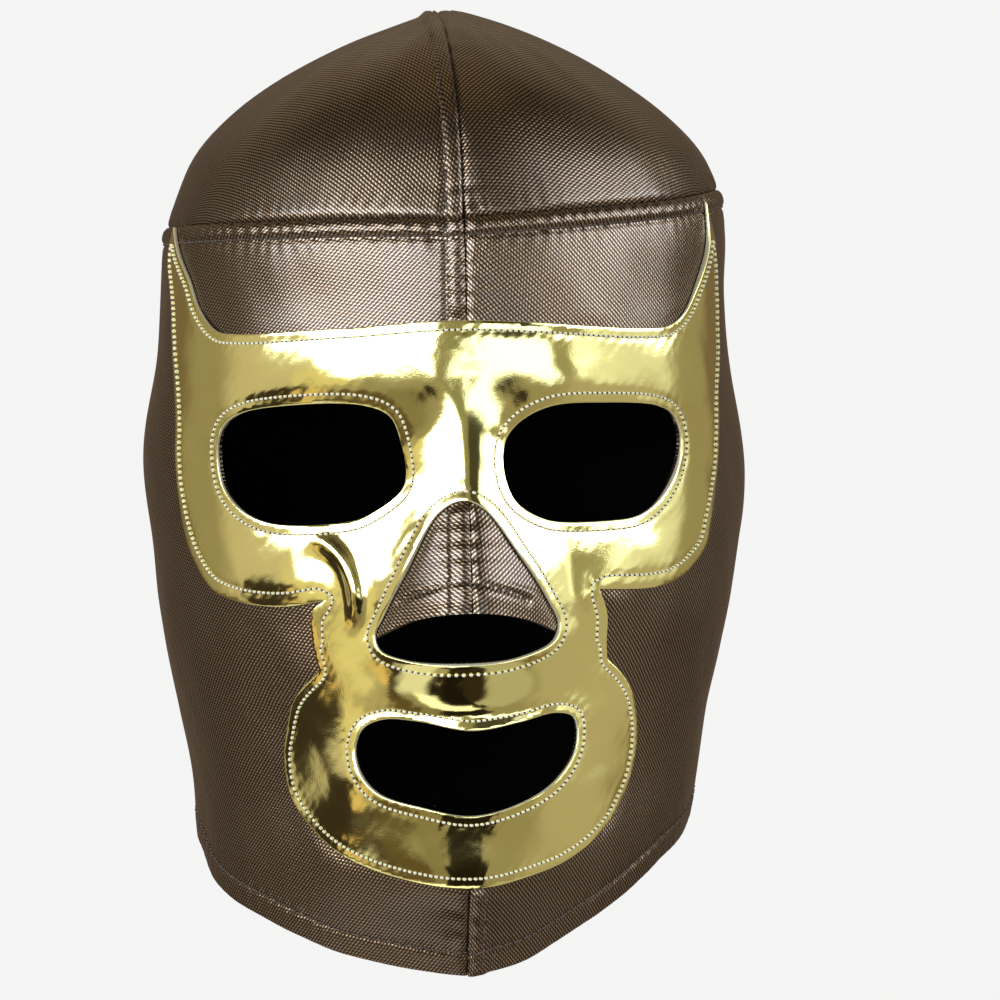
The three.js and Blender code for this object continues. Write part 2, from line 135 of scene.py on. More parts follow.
# Swells and hollows of the face: lift, then side and spread as shares of half the width, then drop and
# spread as shares of the height
FACE_FORMS = [
    (0.7 * MM, 0.34, 0.29, 0.401, 0.052),
    (-2.8 * MM, 0.40, 0.21, 0.496, 0.060),
    (3.2 * MM, 0.56, 0.24, 0.567, 0.074),
    (-3 * MM, 0.56, 0.20, 0.779, 0.090),
    (5 * MM, 0.00, 0.38, 0.789, 0.083),
    (4 * MM, 0.00, 0.27, 0.907, 0.052),
]
NOSE_ROOT, NOSE_TIP, NOSE_UNDER, NOSE_LIP = 0.374, 0.623, 0.644, 0.734
EAR_TURN, EAR_WIDE, EAR_DROP, EAR_TALL = 96, 18, 0.488, 0.087

# Rims of the openings: across and down as shares, from the middle of the eye or mouth, or from the top
# of the nose opening
EYE_RIGHT_RIM = [(-1.00, -0.23), (-0.94, -0.57), (-0.72, -0.82), (-0.18, -0.98), (0.58, -0.99),
                 (0.83, -0.81), (0.93, -0.41), (1.00, 0.18), (0.95, 0.45), (0.58, 0.88), (0.34, 0.98),
                 (-0.31, 0.99), (-0.67, 0.77), (-0.93, 0.35)]
EYE_LEFT_RIM = [(-1.00, 0.12), (-0.96, -0.35), (-0.80, -0.70), (-0.51, -0.95), (0.04, -0.99),
                (0.68, -0.90), (0.91, -0.72), (1.00, -0.40), (0.95, 0.02), (0.70, 0.58), (0.41, 0.91),
                (0.04, 1.00), (-0.63, 0.94), (-0.91, 0.63)]
NOSE_RIM = [(-0.05, 0.00), (0.12, 0.05), (0.45, 0.33), (0.82, 0.63), (1.00, 0.80), (0.93, 0.90),
            (0.48, 0.98), (-0.05, 1.00), (-0.63, 1.00), (-0.94, 0.95), (-1.00, 0.86), (-0.89, 0.74),
            (-0.62, 0.47), (-0.27, 0.08)]
NOSTRIL_ARCH = [(-1.02, 0.87), (-0.45, 0.73), (0.03, 0.69), (0.52, 0.74), (1.00, 0.84)]
NOSTRIL_FLOOR = [(1.00, 0.84), (0.94, 0.90), (0.48, 0.98), (-0.05, 1.00), (-0.63, 1.00), (-0.96, 0.95),
                 (-1.02, 0.87)]
MOUTH_RIM = [(-1.00, -0.30), (-0.92, -0.72), (-0.72, -0.92), (-0.43, -0.88), (0.02, -0.68),
             (0.45, -0.84), (0.77, -1.00), (0.97, -0.86), (0.99, -0.26), (0.80, 0.32), (0.46, 0.76),
             (0.02, 1.00), (-0.40, 0.83), (-0.80, 0.55), (-0.96, 0.15)]

# Outer edge of the trim in smooth stretches from corner to corner, as shares of its reach and height
TRIM_EDGE = [
    [(-0.95, 0.030), (-0.88, 0.072), (-0.81, 0.111), (-0.76, 0.151), (-0.68, 0.186), (-0.60, 0.192),
     (-0.29, 0.185), (0.00, 0.175), (0.46, 0.189), (0.58, 0.184), (0.65, 0.162), (0.72, 0.111),
     (0.77, 0.061), (0.78, 0.000)],
    [(0.78, 0.000), (0.82, 0.061), (0.85, 0.123), (0.85, 0.220), (0.81, 0.300), (0.77, 0.411),
     (0.73, 0.463), (0.69, 0.516), (0.61, 0.550), (0.54, 0.565), (0.46, 0.571), (0.32, 0.570)],
    [(0.32, 0.570), (0.35, 0.607), (0.36, 0.647), (0.37, 0.674)],
    [(0.37, 0.674), (0.44, 0.705), (0.49, 0.745), (0.52, 0.799), (0.51, 0.855), (0.46, 0.900),
     (0.39, 0.933), (0.28, 0.968), (0.16, 0.988), (0.03, 1.000), (-0.12, 0.994), (-0.27, 0.974),
     (-0.38, 0.948), (-0.46, 0.914), (-0.52, 0.872), (-0.53, 0.820), (-0.50, 0.770), (-0.46, 0.728),
     (-0.37, 0.686)],
    [(-0.37, 0.686), (-0.38, 0.641), (-0.37, 0.596), (-0.34, 0.582)],
    [(-0.34, 0.582), (-0.44, 0.591), (-0.52, 0.591), (-0.61, 0.584), (-0.69, 0.569), (-0.77, 0.528),
     (-0.82, 0.480), (-0.85, 0.397), (-0.85, 0.320), (-0.88, 0.240), (-0.92, 0.150), (-0.97, 0.081),
     (-0.95, 0.030)],
]

# Dents and swells of the worn trim: depth, then across and spread, then drop and spread
TRIM_DENTS = [
    (0.7 * MM, 41 * MM, 6.0 * MM, 176 * MM, 8.0 * MM),
    (-0.5 * MM, -45 * MM, 6.0 * MM, 166 * MM, 5.0 * MM),
]
LEAST_TRIM = 0.45 * MM

# Folds of the trim: height, width, then the ridge's flat places in millimetres
TRIM_FOLDS = [
    (1.8 * MM, 2.6 * MM,
     [(-52, 160), (-47, 159.5), (-42, 162), (-37, 167), (-34, 174), (-34, 181), (-37, 188)]),
]
FOLD_TAPER = 0.35

# Soft uneven swells of the cloth and the trim: height, wavelength, seed
CLOTH_SWELLS = [(0.35 * MM, 60 * MM, 3), (0.12 * MM, 20 * MM, 4)]
TRIM_SWELLS = [(0.30 * MM, 42 * MM, 21), (0.05 * MM, 12 * MM, 22)]
SWELL_WAVES = 7
SWELL_RANGE = (0.6, 1.6)        # the waves' lengths as shares of the wavelength
SWELL_SCALE = 3.2               # what brings their sum to about 1

# Puckers square to a seam or row: height, spacing, bend, wavelength of the bend, seed, reach
FOREHEAD_PUCKERS = (0.26 * MM, 5.1 * MM, 2.6, 26 * MM, 8, 6 * MM)
MIDDLE_PUCKERS = (0.20 * MM, 5.7 * MM, 2.8, 26 * MM, 9, 5 * MM)
HEM_PUCKERS = (0.16 * MM, 5.2 * MM, 2.4, 25 * MM, 10, 4 * MM)
TRIM_PUCKERS = (0.05 * MM, 4.3 * MM, 3.0, 18 * MM, 23, 2.5 * MM)

# Stitching: pitch and size of one stitch, and how far its rows lie from the edges and seams
TRIM_PITCH = 1.8 * MM
TRIM_STITCH_LENGTH = 1.50 * MM
TRIM_STITCH_RADIUS = 0.40 * MM
CLOTH_PITCH = 2.0 * MM
CLOTH_STITCH_LENGTH = 1.5 * MM
CLOTH_STITCH_RADIUS = 0.34 * MM
HOLE_RADIUS = 0.33 * MM
TRIM_STITCH_INSET = 2.7 * MM
LOBE_STITCH_INSET = 4.0 * MM
ALLOWANCE = 5.0 * MM
INSET_LEAST = 0.94              # share of its inset that a row keeps from the whole edge
ARCH_HEM_ROWS = [(-19, 177.5), (-16, 175.5), (-7, 172.3), (-1, 171.2), (4, 172), (12, 175), (15.5, 177)]
STITCH_CUTS = (-0.36, -0.18, 0.18, 0.36)
STITCH_TAPER = 0.55
STITCH_RISE, STITCH_DIP = 0.75, 2.0
STITCH_HEADING = 0.1            # share of a pitch over which a stitch takes its heading

# Relief: furrows under the stitches, turned bands beside the seams and hems, and the seams' rolled edges
FURROW_DEPTH = 0.10 * MM
FURROW_WIDTH = 1.1 * MM
CLOTH_FURROW = 0.8 * MM
CLOTH_FURROW_WIDTH = 0.9 * MM
HEM_FURROW = 0.35 * MM
HEM_LIFT = 0.25 * MM
HEM_FOLD = 1.0 * MM
ARCH_HEM = 9.2 * MM
ARCH_HEM_LIFT = 0.45 * MM
ALLOWANCE_LIFT = 0.8 * MM
BAND_INNER, BAND_OUTER = 0.7 * MM, 0.9 * MM
TURNED_RIGHT_END, TURNED_LEFT_START = 0.2, 0.24     # drops between which the turned cloth changes sides
TRIM_FREE = (0.3 * MM, 3 * MM)  # distances from the trim's edge over which the cloth begins to swell
SEAM_START = 9 * MM             # drop at which the hood is wide enough for the rows beside the middle seam
SEAM_DEPTH = 1.0 * MM
SEAM_ROLL = 0.9 * MM
NAPE_DROP = 0.905 * HOOD_HEIGHT

# Rows of topstitching beside the middle seam on the crown, brow, nose, chin and back: top and bottom drop,
# number of points, way from the seam, and whether it is behind
MIDDLE_ROWS = [
    (SEAM_START, FOREHEAD_SEAM_DROP - MM, 60, -ALLOWANCE, False),
    (FOREHEAD_SEAM_DROP + MM, 97 * MM, 30, -ALLOWANCE, False),
    (NOSE_DROP, NOSE_DROP + 31 * MM, 30, -ALLOWANCE, False),
    (258 * MM, HOOD_HEIGHT - 3 * MM, 30, ALLOWANCE * 0.85, False),
    (SEAM_START, 0.9 * HOOD_HEIGHT - 3 * MM, 200, -ALLOWANCE, True),
]

# Strips of turned-in cloth inside the middle seam: top and bottom drop, and whether it is behind
TAPE_WIDTH = 9 * MM
TAPE_TOP = -0.15 * MM
TAPE_UNDER = -1.0 * MM
MIDDLE_TAPES = {
    "crown": (SEAM_START, FOREHEAD_SEAM_DROP - 3 * MM, False),
    "brow": (FOREHEAD_SEAM_DROP + 3 * MM, NOSE_DROP - 3 * MM, False),
    "nose": (NOSE_DROP + 2 * MM, NOSE_DROP + 0.68 * NOSE_HEIGHT, False),
    "lip": (NOSE_DROP + NOSE_HEIGHT + 3 * MM, MOUTH_DROP - 0.8 * MOUTH_HEIGHT / 2, False),
    "chin": (MOUTH_DROP + 1.15 * MOUTH_HEIGHT / 2, HOOD_HEIGHT - HEM_DEPTH - MM, False),
    "back": (SEAM_START, NAPE_DROP - HEM_DEPTH - MM, True),
}

# Nets of the sheets
SPAN_POINTS = 40                # points worked out on each span of a smooth curve
BATCH = 4000                    # points measured at a time
ROW_SHARE = 0.866               # height of an even triangle as a share of its side
NET_MARGIN = 0.6                # least distance of the net from an edge, as a share of its step
LEAST_AREA = 1e-14
FACE_STEP, FACE_FINE_STEP, FACE_EDGE_STEP = 2.0 * MM, 0.85 * MM, 1.0 * MM
TRIM_STEP, TRIM_EDGE_STEP = 1.05 * MM, 0.9 * MM
# length, step, step near the end and length of that end: the crown's rows as shares, the back's in metres,
# and the turns in degrees, without the length
CROWN_NET = (1.0, 1 / 34, 0.012, 0.13)
CROWN_CROWDING = 1.35
BACK_NET = (0.18, 2 * MM, 0.8 * MM, 9 * MM)
TURN_NET = (1.2, 0.45, 6)
NOSE_CLOTH_DROP, NOSE_CLOTH_TALL = 170 * MM, 24 * MM
NOSE_CLOTH_WIDE, NOSE_FINE_WIDE, SEAM_FINE_WIDE = 30 * MM, 20 * MM, 9 * MM
RIM_ROUND = 0.22 * MM
RIM_ANGLE, SMOOTH_ANGLE = 55, 50

# Cloth of the face and of the crown and back: lean of the twill in degrees on the wearer's left, and tint
CLOTHS = {"face": (47, (0.34, 0.225, 0.130)), "back": (-40, (0.32, 0.215, 0.125))}
CLOTH_GROUND = 0.03             # brightness of the ground between the metal threads
CLOTH_GLOSS_IOR = 1.75
TWILL_PITCH = 1.05              # pitch of the ribs in millimetres, as all sizes in the materials are
THREAD_PITCH = TWILL_PITCH * 1.15

# Camera, as the photograph is taken: a long lens nearly square to the face
CAMERA_YAW = 3.8
CAMERA_RISE = 2.0
CAMERA_ROLL = 0.6
CAMERA_DISTANCE = 1.5
AIM_DROP = 0.15
FRAME_SIDE = 0.3125             # side of the square frame at the aim point
AIM_SHARE = (-0.055, 0.003)     # where the aim point lies from the frame's middle, right and up
FILM_WIDTH = 36
FAR_CLIP = 50
FLOOR_SIDE = 6
FLOOR_DROP = 1.0

# The studio as the shiny cloth and foil mirror it, in degrees round from straight ahead (right is plus) and
# up: from and to round, from and to up, blur, tint and brightness; later rows lie over earlier ones
PAPER = (0.91, 0.91, 0.905, 1)
STUDIO_GREY = (0.31, 0.265, 0.19, 1)
DAY = (0.92, 1.0, 1.12)
WARM = (1.0, 0.88, 0.72)
CREAM = (1, 0.97, 0.92)
TAN = (1.0, 0.74, 0.50)
BROWN = (1.0, 0.70, 0.50)
STUDIO = [
    (-104, -55, -14, 14, 9, WARM, 0.56),
    (50, 100, -32, 24, 9, WARM, 0.44),
    (-200, 200, 38, 95, 6, (1.0, 0.80, 0.55), 0.05),
    (-200, 200, 66, 95, 6, (1.0, 0.74, 0.36), 0.40),
    (-235, -125, 24, 70, 9, (1.0, 0.76, 0.50), 0.40),
    (125, 235, 24, 70, 9, (1.0, 0.76, 0.50), 0.40),
    (-235, -128, -56, 24, 6, TAN, 0.18),
    (128, 235, -56, 24, 6, TAN, 0.18),
    (-130, -100, -56, -9, 5, TAN, 0.17),
    (100, 130, -56, -9, 5, TAN, 0.18),
    (-200, 200, -95, -56, 6, WARM, 0.40),
    (30, 100, 16, 33, 6, DAY, 2.2),
    (-84, -5, 6, 22, 4, DAY, 10.0),
    (-46, -5, -3, 22, 3, DAY, 9.0),
    (-62, -44, 1, 22, 3, DAY, 9.0),
    (-90, -5, 29, 40, 4, (1.0, 0.86, 0.66), 0.12),
    (44, 70, 5, 20, 4, DAY, 6.0),
    (56, 72, -4, 8, 3, (0.96, 1.0, 1.04), 1.4),
    (4, 46, -8, 6, 3, DAY, 2.4),
    (6, 35, 7, 34, 3.0, (1.0, 0.90, 0.66), 0.06),
    (42, 57, -4, 9, 2.5, (1.0, 0.90, 0.6), 0.32),
    (-5, 9, -3, 13, 2.0, (1.0, 0.92, 0.6), 0.26),
    (-5, 9, 12, 34, 2.0, (1.0, 0.92, 0.6), 0.26),
    (62, 104, -4, 8, 4, (1.0, 1.0, 0.96), 0.8),
    (62, 104, 6, 17, 4, DAY, 8.0),
    (-72, -44, -12, -1, 2.5, (1.0, 0.86, 0.55), 0.72),
    (-94, -65, -32, -6.5, 2.0, (1.0, 0.72, 0.52), 0.036),
    (-74, -46, -30, -20, 4, (1.0, 0.72, 0.52), 0.060),
    (-60, -44, -20, -11, 3, (1.0, 0.86, 0.60), 0.42),
    (-74, -60, -20, -13, 2.5, (1.0, 0.72, 0.36), 0.75),
    (-54, -30, -34, -21, 3, (1.0, 0.70, 0.36), 0.12),
    (-34, -16, -44, -14, 3.0, (1.0, 0.84, 0.55), 0.24),
    (-18, -11, -44, -17, 1.2, BROWN, 0.014),
    (-13, 19, -44, -11, 1.2, BROWN, 0.014),
    (18, 25, -44, -17, 1.2, BROWN, 0.014),
    (-90, 34, -80, -46, 3, BROWN, 0.018),
    (-200, 200, -95, -70, 4, (1.0, 0.72, 0.50), 0.03),
    (-118, -60, -56, -28, 5, CREAM, 0.8),
    (-62, 20, -64, -44, 4, CREAM, 1.4),
    (34, 150, -68, -36, 4, (1, 0.94, 0.80), 0.45),
    (-96, 28, -95, -70, 3, (1.0, 0.72, 0.50), 0.012),
]


# Form of the hood

def column_at(places, values, place):
    """Smooth curve through a table's rows."""
    slopes = np.diff(values) / np.diff(places)
    tangents = np.concatenate([slopes[:1], (slopes[:-1] + slopes[1:]) / 2, slopes[-1:]])
    row = np.clip(np.searchsorted(places, place, side="right") - 1, 0, len(places) - 2)
    step = places[row + 1] - places[row]
    s = (place - places[row]) / step
    return (values[row] * (1 + s * s * (2 * s - 3)) + values[row + 1] * s * s * (3 - 2 * s)
            + step * s * (1 - s) * (tangents[row] * (1 - s) - tangents[row + 1] * s))


def section_at(column, drop):
    return column_at(SECTION_PLACES, column, np.sqrt(np.maximum(drop, 0) / HOOD_HEIGHT))


def half_width_at(turn, drop):
    return np.where(turn < 0, section_at(RIGHT, drop), section_at(LEFT, drop)) * HOOD_WIDTH / 2


def by_side(table, turn):
    size = np.abs(turn)
    right = column_at(table[:, 0], table[:, 1], size)
    left = column_at(table[:, 0], table[:, 2], size)
    return np.where(turn < 0, right, left)


def turn_at(across):
    return across * 360 / GIRTH


def across_at(turn):
    return turn * GIRTH / 360


def hem_drop(turn):
    return HOOD_HEIGHT * by_side(NECK_HEM, turn)


def forehead_drop(turn):
    return FOREHEAD_SEAM_DROP * by_side(FOREHEAD_SEAM, turn)


def bell(value, middle, spread):
    return np.exp(-((value - middle) / spread) ** 2)


def ease(value, start, end):
    s = np.clip((value - start) / (end - start), 0, 1)
    return s * s * (3 - 2 * s)


def relief(x, turn, drop):
    down = drop / HOOD_HEIGHT
    ear = EAR_LIFT * bell(np.abs(turn), EAR_TURN, EAR_WIDE) * bell(down, EAR_DROP, EAR_TALL)
    spread = NOSE_SPREAD * (1 + ease(down, NOSE_ROOT, NOSE_TIP)) / 2
    rise = ease(down, NOSE_ROOT, NOSE_TIP) * (1 - ease(down, NOSE_UNDER, NOSE_LIP))
    face = NOSE_LIFT * rise * bell(x, 0, spread)
    side = np.abs(x) / (HOOD_WIDTH / 2)
    for lift, form_side, wide, form_drop, tall in FACE_FORMS:
        face = face + lift * bell(side, form_side, wide) * bell(down, form_drop, tall)
    return ear + np.where(np.abs(turn) < SIDE_SEAM_TURN, face, 0)


def skin(turn, drop):
    """Point on the inside of the hood."""
    angle = np.radians(turn)
    sine, cosine = np.sin(angle), np.cos(angle)
    half = half_width_at(turn, drop)
    depth = np.where(cosine > 0, section_at(FRONT, drop) * FRONT_DEPTH, section_at(BACK, drop) * BACK_DEPTH)
    lean = CROWN_LEAN * (1 - ease(drop, 0, CROWN_LEAN_END))
    x = sine * half + lean * (1 - np.abs(sine) * half / (half - CROWN_LEAN))
    lift = relief(x, turn, drop)
    return np.stack([x + lift * sine, -(depth + lift) * cosine, -drop], axis=-1)


def hood_point(points, out):
    """Points a distance out from the inside of the hood, along its normal, for flat points."""
    turn, drop = turn_at(points[:, 0]), points[:, 1]
    drop_step = np.minimum(DROP_STEP, np.maximum(drop, 1e-7) / 2)
    round_way = skin(turn + TURN_STEP, drop) - skin(turn - TURN_STEP, drop)
    down_way = skin(turn, drop + drop_step) - skin(turn, drop - drop_step)
    normal = np.cross(down_way, round_way)
    normal /= np.maximum(np.linalg.norm(normal, axis=1, keepdims=True), 1e-15)
    normal = np.where((drop <= 0)[:, None], np.array([0, 0, 1.0]), normal)
    return skin(turn, drop) + normal * np.asarray(out)[..., None]


# Flat outlines

def flat(across, drop):
    """Flat points from their two places."""
    return np.stack([across, drop], axis=1)


def smooth_stretch(points, closed, spacing):
    """Evenly spaced points on a smooth curve through a table's points."""
    points = np.asarray(points, float)
    count = len(points)
    if closed:
        ring = np.concatenate([points[-1:], points, points[:2]])
    else:
        ring = np.concatenate([2 * points[:1] - points[1:2], points, 2 * points[-1:] - points[-2:-1]])
    spans = count if closed else count - 1
    fine = []
    for i in range(spans):
        a, b, c, d = ring[i:i + 4]
        knots = np.concatenate([[0], np.cumsum([math.sqrt(np.linalg.norm(q - p))
                                                for p, q in ((a, b), (b, c), (c, d))])])
        start = (c - b) - (knots[2] - knots[1]) * ((c - a) / (knots[2] - knots[0])
                                                   - (b - a) / (knots[1] - knots[0]))
        end = (c - b) - (knots[2] - knots[1]) * ((d - b) / (knots[3] - knots[1])
                                                 - (d - c) / (knots[3] - knots[2]))
        s = np.linspace(0, 1, SPAN_POINTS, endpoint=False)[:, None]
        fine.append(b * (1 + s * s * (2 * s - 3)) + c * s * s * (3 - 2 * s)
                    + s * (1 - s) * (start * (1 - s) - end * s))
    fine = np.concatenate(fine + [points[:1] if closed else points[-1:]])
    return respace(fine, spacing)


def respace(line, spacing):
    """The same line with evenly spaced points."""
    lengths = np.concatenate([[0], np.cumsum(np.linalg.norm(np.diff(line, axis=0), axis=1))])
    count = max(2, int(round(lengths[-1] / spacing)) + 1)
    places = np.linspace(0, lengths[-1], count)
    return np.stack([np.interp(places, lengths, line[:, k]) for k in range(2)], axis=1)


def rim(rows, middle, drop, half_width, height, spacing, grow=0.0):
    """Closed edge of an opening through a table's shares, grown by a distance on each side."""
    return smooth_stretch(shares_at(rows, middle, drop, half_width + grow, height + grow), True, spacing)[:-1]


def shares_at(rows, middle, drop, half_width, height):
    rows = np.asarray(rows)
    return flat(middle + rows[:, 0] * half_width, drop + rows[:, 1] * height)


def cornered(stretches, drop, half_width, height, spacing):
    """Closed edge from smooth stretches that meet at corners."""
    return np.concatenate([smooth_stretch(shares_at(rows, 0, drop, half_width, height), False, spacing)[:-1]
                           for rows in stretches])


def eye_rim(side, spacing, grow=0.0):
    rows, middle = (EYE_RIGHT_RIM, -EYE_RIGHT_ACROSS) if side < 0 else (EYE_LEFT_RIM, EYE_LEFT_ACROSS)
    return rim(rows, middle, EYE_DROP, EYE_WIDTH / 2, EYE_HEIGHT / 2, spacing, grow)


def mouth_rim(spacing, grow=0.0):
    return rim(MOUTH_RIM, 0, MOUTH_DROP, MOUTH_WIDTH / 2, MOUTH_HEIGHT / 2, spacing, grow)


def nose_rim(spacing):
    return rim(NOSE_RIM, 0, NOSE_DROP, NOSE_WIDTH / 2, NOSE_HEIGHT, spacing)


def nostril_rim(spacing, grow):
    return cornered((NOSTRIL_ARCH, NOSTRIL_FLOOR), NOSE_DROP, NOSE_WIDTH / 2 + grow, NOSE_HEIGHT + grow,
                    spacing)


def trim_edge(spacing):
    return cornered(TRIM_EDGE, TRIM_DROP, TRIM_REACH, TRIM_HEIGHT, spacing)


def within(points, loop):
    """Which points lie inside a closed loop."""
    inside = np.zeros(len(points), bool)
    ends = np.roll(loop, -1, axis=0)
    for (ax, ay), (bx, by) in zip(loop, ends):
        crosses = (ay > points[:, 1]) != (by > points[:, 1])
        if ay != by:
            reach = ax + (points[:, 1] - ay) * (bx - ax) / (by - ay)
            inside ^= crosses & (points[:, 0] < reach)
    return inside


def nearest(points, line):
    """Distance of each point to a line's points, and the number of the nearest one."""
    distance = np.empty(len(points))
    index = np.empty(len(points), int)
    for first in range(0, len(points), BATCH):
        part = slice(first, first + BATCH)
        gap = ((points[part, None, :] - line[None, :, :]) ** 2).sum(axis=2)
        index[part] = gap.argmin(axis=1)
        distance[part] = np.sqrt(gap.min(axis=1))
    return distance, index


def flat_rows(low, high, step):
    """Points of an even triangle pattern over a rectangle."""
    net = []
    for number, row in enumerate(np.arange(low[1], high[1], step * ROW_SHARE)):
        columns = np.arange(low[0] + (number % 2) * step / 2, high[0], step)
        net.append(flat(columns, np.full_like(columns, row)))
    return np.concatenate(net)


def flat_net(outline, openings, step, fine_where=None, fine_step=None):
    """Even triangle net within an outline and round its openings, finer where asked."""
    def inside(points):
        kept = within(points, outline)
        for opening in openings:
            kept &= ~within(points, opening)
        return kept

    edge_points = np.concatenate([outline] + openings)
    edges = []
    first = 0
    for loop in [outline] + openings:
        numbers = np.arange(len(loop)) + first
        edges += list(zip(numbers.tolist(), np.roll(numbers, -1).tolist()))
        first += len(loop)
    low, high = edge_points.min(axis=0), edge_points.max(axis=0)
    net = flat_rows(low, high, step)
    if fine_where:
        fine = flat_rows(low, high, fine_step)
        net = np.concatenate([net[~fine_where(net)], fine[fine_where(fine)]])
    net = net[inside(net)]
    net = net[nearest(net, edge_points)[0] > NET_MARGIN * (fine_step or step)]
    points = np.concatenate([edge_points, net]) / MM
    result = delaunay_2d_cdt([Vector(p) for p in points.tolist()], edges, [], 0, 1e-5)
    places = np.array([tuple(p) for p in result[0]]) * MM
    triangles = np.array(result[2])
    triangles = triangles[inside(places[triangles].mean(axis=1))]
    a, b, c = (places[triangles[:, k]] for k in range(3))
    area = (b[:, 0] - a[:, 0]) * (c[:, 1] - a[:, 1]) - (b[:, 1] - a[:, 1]) * (c[:, 0] - a[:, 0])
    sound = np.abs(area) > LEAST_AREA
    triangles, area = triangles[sound], area[sound]
    # drop grows downwards, so a face that points out has a negative flat area
    triangles[area > 0] = triangles[area > 0][:, ::-1]
    used = np.unique(triangles)
    renumber = np.zeros(len(places), int)
    renumber[used] = np.arange(len(used))
    return places[used], renumber[triangles]


# Fine relief of seams, hems and stitching

def ripple(points, wave, seed):
    """Soft uneven swell between about -1 and 1, with a given wavelength."""
    draw = np.random.default_rng(seed)
    total = np.zeros(len(points))
    for _ in range(SWELL_WAVES):
        heading = draw.uniform(0, math.pi)
        pace = 2 * math.pi / (wave * draw.uniform(*SWELL_RANGE))
        phase = draw.uniform(0, 2 * math.pi)
        way = points[:, 0] * math.cos(heading) + points[:, 1] * math.sin(heading)
        total += np.sin(pace * way + phase)
    return total / SWELL_SCALE


def swells(points, rows):
    return sum(height * ripple(points, wave, seed) for height, wave, seed in rows)


def puckers(points, along, distance, sizes):
    """Small folds square to a seam, from places along it and distances from it."""
    height, spacing, bend, wave, seed, reach = sizes
    phase = 2 * math.pi * along / spacing + bend * ripple(points, wave, seed)
    return height * np.sin(phase) * np.exp(-distance / reach)


def inset_line(loop, distance):
    """Line that runs a distance for each point to the inner side of a closed loop."""
    ahead = np.roll(loop, -1, axis=0) - np.roll(loop, 1, axis=0)
    normal = flat(-ahead[:, 1], ahead[:, 0])
    normal /= np.linalg.norm(normal, axis=1, keepdims=True)
    moved = loop + normal * distance[:, None]
    kept = nearest(moved, loop)[0] > np.abs(distance) * INSET_LEAST
    return moved[kept]


def seam_roll(distance):
    """Cloth edge that rolls down into a seam."""
    return -SEAM_DEPTH * np.exp(-(distance / SEAM_ROLL) ** 1.3)


def band(distance, width, lift):
    """Raised band of turned-in cloth beside a seam, ending in a soft step."""
    return lift * (1 - ease(distance, width - BAND_INNER, width + BAND_OUTER))


def beside_middle(drops, distance, behind=False):
    """Flat points a given distance from the middle seam, in front or behind."""
    turn = np.degrees(np.arcsin(distance / half_width_at(np.full_like(drops, distance), drops)))
    if behind:
        turn = math.copysign(180, distance) - turn
    return flat(across_at(turn), drops)


def cloth_seam_lines():
    """Rows of topstitching on the cloth, as flat lines."""
    turns = np.linspace(-SIDE_SEAM_TURN + 2, SIDE_SEAM_TURN - 2, 240)
    round_turns = np.linspace(-179, 179, 500)
    lines = [flat(across_at(turns), forehead_drop(turns) + ALLOWANCE),
             flat(across_at(round_turns), hem_drop(round_turns) - HEM_DEPTH)]
    for top, bottom, count, way, behind in MIDDLE_ROWS:
        lines.append(beside_middle(np.linspace(top, bottom, count), way, behind))
    lines.append(np.array(ARCH_HEM_ROWS) * MM)
    for side in (-1, 1):
        turn = side * SIDE_SEAM_TURN
        drops = np.linspace(float(forehead_drop(turn)) + 2 * MM, float(hem_drop(turn)) - 2 * MM, 120)
        lines.append(flat(np.full_like(drops, across_at(turn) + side * ALLOWANCE), drops))
    return lines


